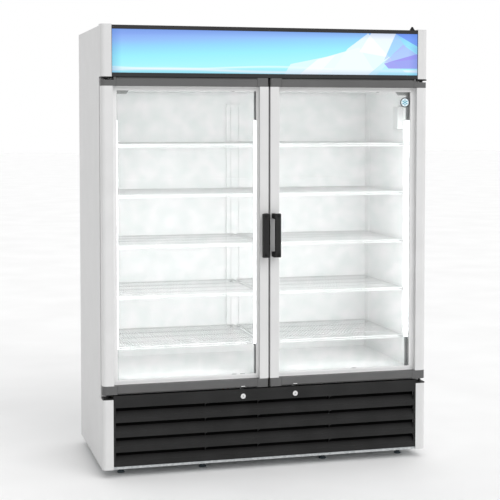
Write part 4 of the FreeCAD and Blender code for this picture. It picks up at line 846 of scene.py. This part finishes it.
def lock_faces():
    """Rim and plug of each cylinder lock, with painted shade for the keyway."""
    for side, sign in SIDES:
        low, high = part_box(f"lock_barrel_{side}")
        centre = Vector(((low.x + high.x) / 2, low.y, (low.z + high.z) / 2))
        mesh = bmesh.new()
        lathe(mesh, centre, [(11.0 * MM, 2.4 * MM), (12.0 * MM, 2.4 * MM), (12.0 * MM, 1.0 * MM),
                             (11.2 * MM, 0.2 * MM), (7.4 * MM, 0.0), (7.0 * MM, 0.6 * MM),
                             (6.8 * MM, 0.6 * MM), (6.6 * MM, 0.1 * MM), (3.0 * MM, 0.0),
                             (2.6 * MM, 0.3 * MM)], "Y", 40)
        lathe(mesh, centre + Vector((0, 2.2 * MM, 0)), [(10 * MM, 0), (10 * MM, 16 * MM)], "Y", 32)
        make(f"lock_cylinder_{side}", mesh, f"lock_barrel_{side}", "bright_steel",
             instead_of=(f"lock_barrel_{side}",))
        # A thin near-black slab on the plug's face: painted shade for the keyway's slot.
        mesh = bmesh.new()
        slab(mesh, centre + Vector((-0.9 * MM, -0.05 * MM, -2.6 * MM)),
             centre + Vector((0.9 * MM, 0.5 * MM, 2.6 * MM)), 0.3 * MM)
        make(f"lock_keyway_shade_{side}", mesh, f"lock_barrel_{side}", "black_coated_steel")


# ---------------------------------------------------------------- inside

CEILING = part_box("ceiling_duct")[0].z
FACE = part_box("face_frame")[1].y
STAY_ACROSS = 0.668
SWITCHES = (-0.1520, 0.545)
DRAINS = (-0.150, -0.110, 0.430)
GUARD_RINGS = (24, 44, 64, 84, 102)
GUARD_SPOKES = 6


def door_stays():
    """A pressed bracket in each upper outer corner, with the pin that holds a door open."""
    mesh = bmesh.new()
    for _, sign in SIDES:
        x = sign * STAY_ACROSS
        prism(mesh, [(x - 36 * MM, CEILING), (x + 36 * MM, CEILING), (x + 36 * MM, CEILING - 8 * MM),
                     (x + 24 * MM, CEILING - 23 * MM), (x - 24 * MM, CEILING - 23 * MM),
                     (x - 36 * MM, CEILING - 8 * MM)], "Y", FACE + 1 * MM, FACE + 12 * MM)
        tube(mesh, [Vector((x - 20 * MM, FACE + 6 * MM, CEILING - 19 * MM)),
                    Vector((x + 20 * MM, FACE + 6 * MM, CEILING - 19 * MM))], 3 * MM, 12)
    make("door_stay_brackets", mesh, "cabinet", "clip_steel")


def door_switches():
    """A plunger under the ceiling for each door."""
    mesh = bmesh.new()
    for x in SWITCHES:
        lathe(mesh, Vector((x, FACE + 14 * MM, CEILING)),
              [(9 * MM, 0), (9 * MM, -6 * MM), (6 * MM, -9 * MM)], "Z", 24)
    make("door_switches", mesh, "cabinet", "black_plastic")


def drain_slots():
    """Grey plugs along the front of the liner's floor."""
    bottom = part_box("inner_liner")[0].z + 1.5 * MM
    mesh = bmesh.new()
    for x in DRAINS:
        slab(mesh, Vector((x - 11 * MM, FACE + 4 * MM, bottom)),
             Vector((x + 11 * MM, FACE + 10 * MM, bottom + 3 * MM)), 1 * MM)
    make("drain_slots", mesh, "cabinet", "lamp_end_plastic")


def fan_guards():
    """Wire rings on six spokes under each fan opening of the ceiling duct."""
    mesh = bmesh.new()
    for side, _ in SIDES:
        low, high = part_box(f"evaporator_fan_{side}")
        centre = Vector(((low.x + high.x) / 2, (low.y + high.y) / 2, CEILING - 3 * MM))
        for radius in GUARD_RINGS:
            ring = [centre + Vector((math.cos(a), math.sin(a), 0)) * radius * MM
                    for a in (TURN * k / 40 for k in range(41))]
            tube(mesh, ring, 1.1 * MM, 6)
        lift = Vector((0, 0, 1.6 * MM))
        for spoke in range(GUARD_SPOKES):
            angle = TURN * spoke / GUARD_SPOKES
            along = Vector((math.cos(angle), math.sin(angle), 0))
            tube(mesh, [centre + along * 10 * MM + lift, centre + along * 106 * MM + lift],
                 1.3 * MM, 6)
    make("fan_guards", mesh, "cabinet", "coated_wire")


# ---------------------------------------------------------------- feet

PAD_HIGH, NUT_HIGH = 10 * MM, 5 * MM
THREAD_PITCH, THREAD_ROOT, THREAD_CREST = 1.75 * MM, 5.2 * MM, 6.0 * MM


def foot_pad(centre):
    """A moulded pad with a domed rim, and the hexagon that a spanner takes."""
    mesh = bmesh.new()
    lathe(mesh, centre, [(15.5 * MM, 0), (17.0 * MM, 0.8 * MM), (17.5 * MM, 3 * MM),
                         (17.5 * MM, 5 * MM), (14 * MM, 8.4 * MM), (9 * MM, PAD_HIGH),
                         (8.0 * MM, PAD_HIGH + 0.2 * MM)], sides=36)
    lathe(mesh, centre + Vector((0, 0, PAD_HIGH)), [(9.4 * MM, 0), (9.4 * MM, NUT_HIGH)], sides=6)
    return mesh


def foot_stem(centre, top):
    """The threaded stem, from the hexagon up."""
    start = PAD_HIGH + NUT_HIGH
    thread = []
    for turn in range(int((top - start) / THREAD_PITCH)):
        base = start + turn * THREAD_PITCH
        thread += [(THREAD_ROOT, base), (THREAD_CREST, base + THREAD_PITCH / 2)]
    mesh = bmesh.new()
    lathe(mesh, centre, thread + [(THREAD_ROOT, top)], sides=20)
    return mesh


def feet():
    """Six levelling feet, each riding on its own screw."""
    for node in [n for n in NODES if n.startswith("foot_")]:
        low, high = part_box(node)
        centre = Vector(((low.x + high.x) / 2, (low.y + high.y) / 2, low.z))
        make(node.replace("foot_", "foot_pad_"), foot_pad(centre), node, "foot_plastic",
             instead_of=(node,))
        make(node.replace("foot_", "foot_stem_"), foot_stem(centre, high.z - low.z), node,
             "clip_steel", smooth=20)


for build in (camera, room, lights, floor, shelves, doors, badge, grille_shade_sheet, louvres, lock_faces,
              door_stays, door_switches, drain_slots, fan_guards, feet):
    build()
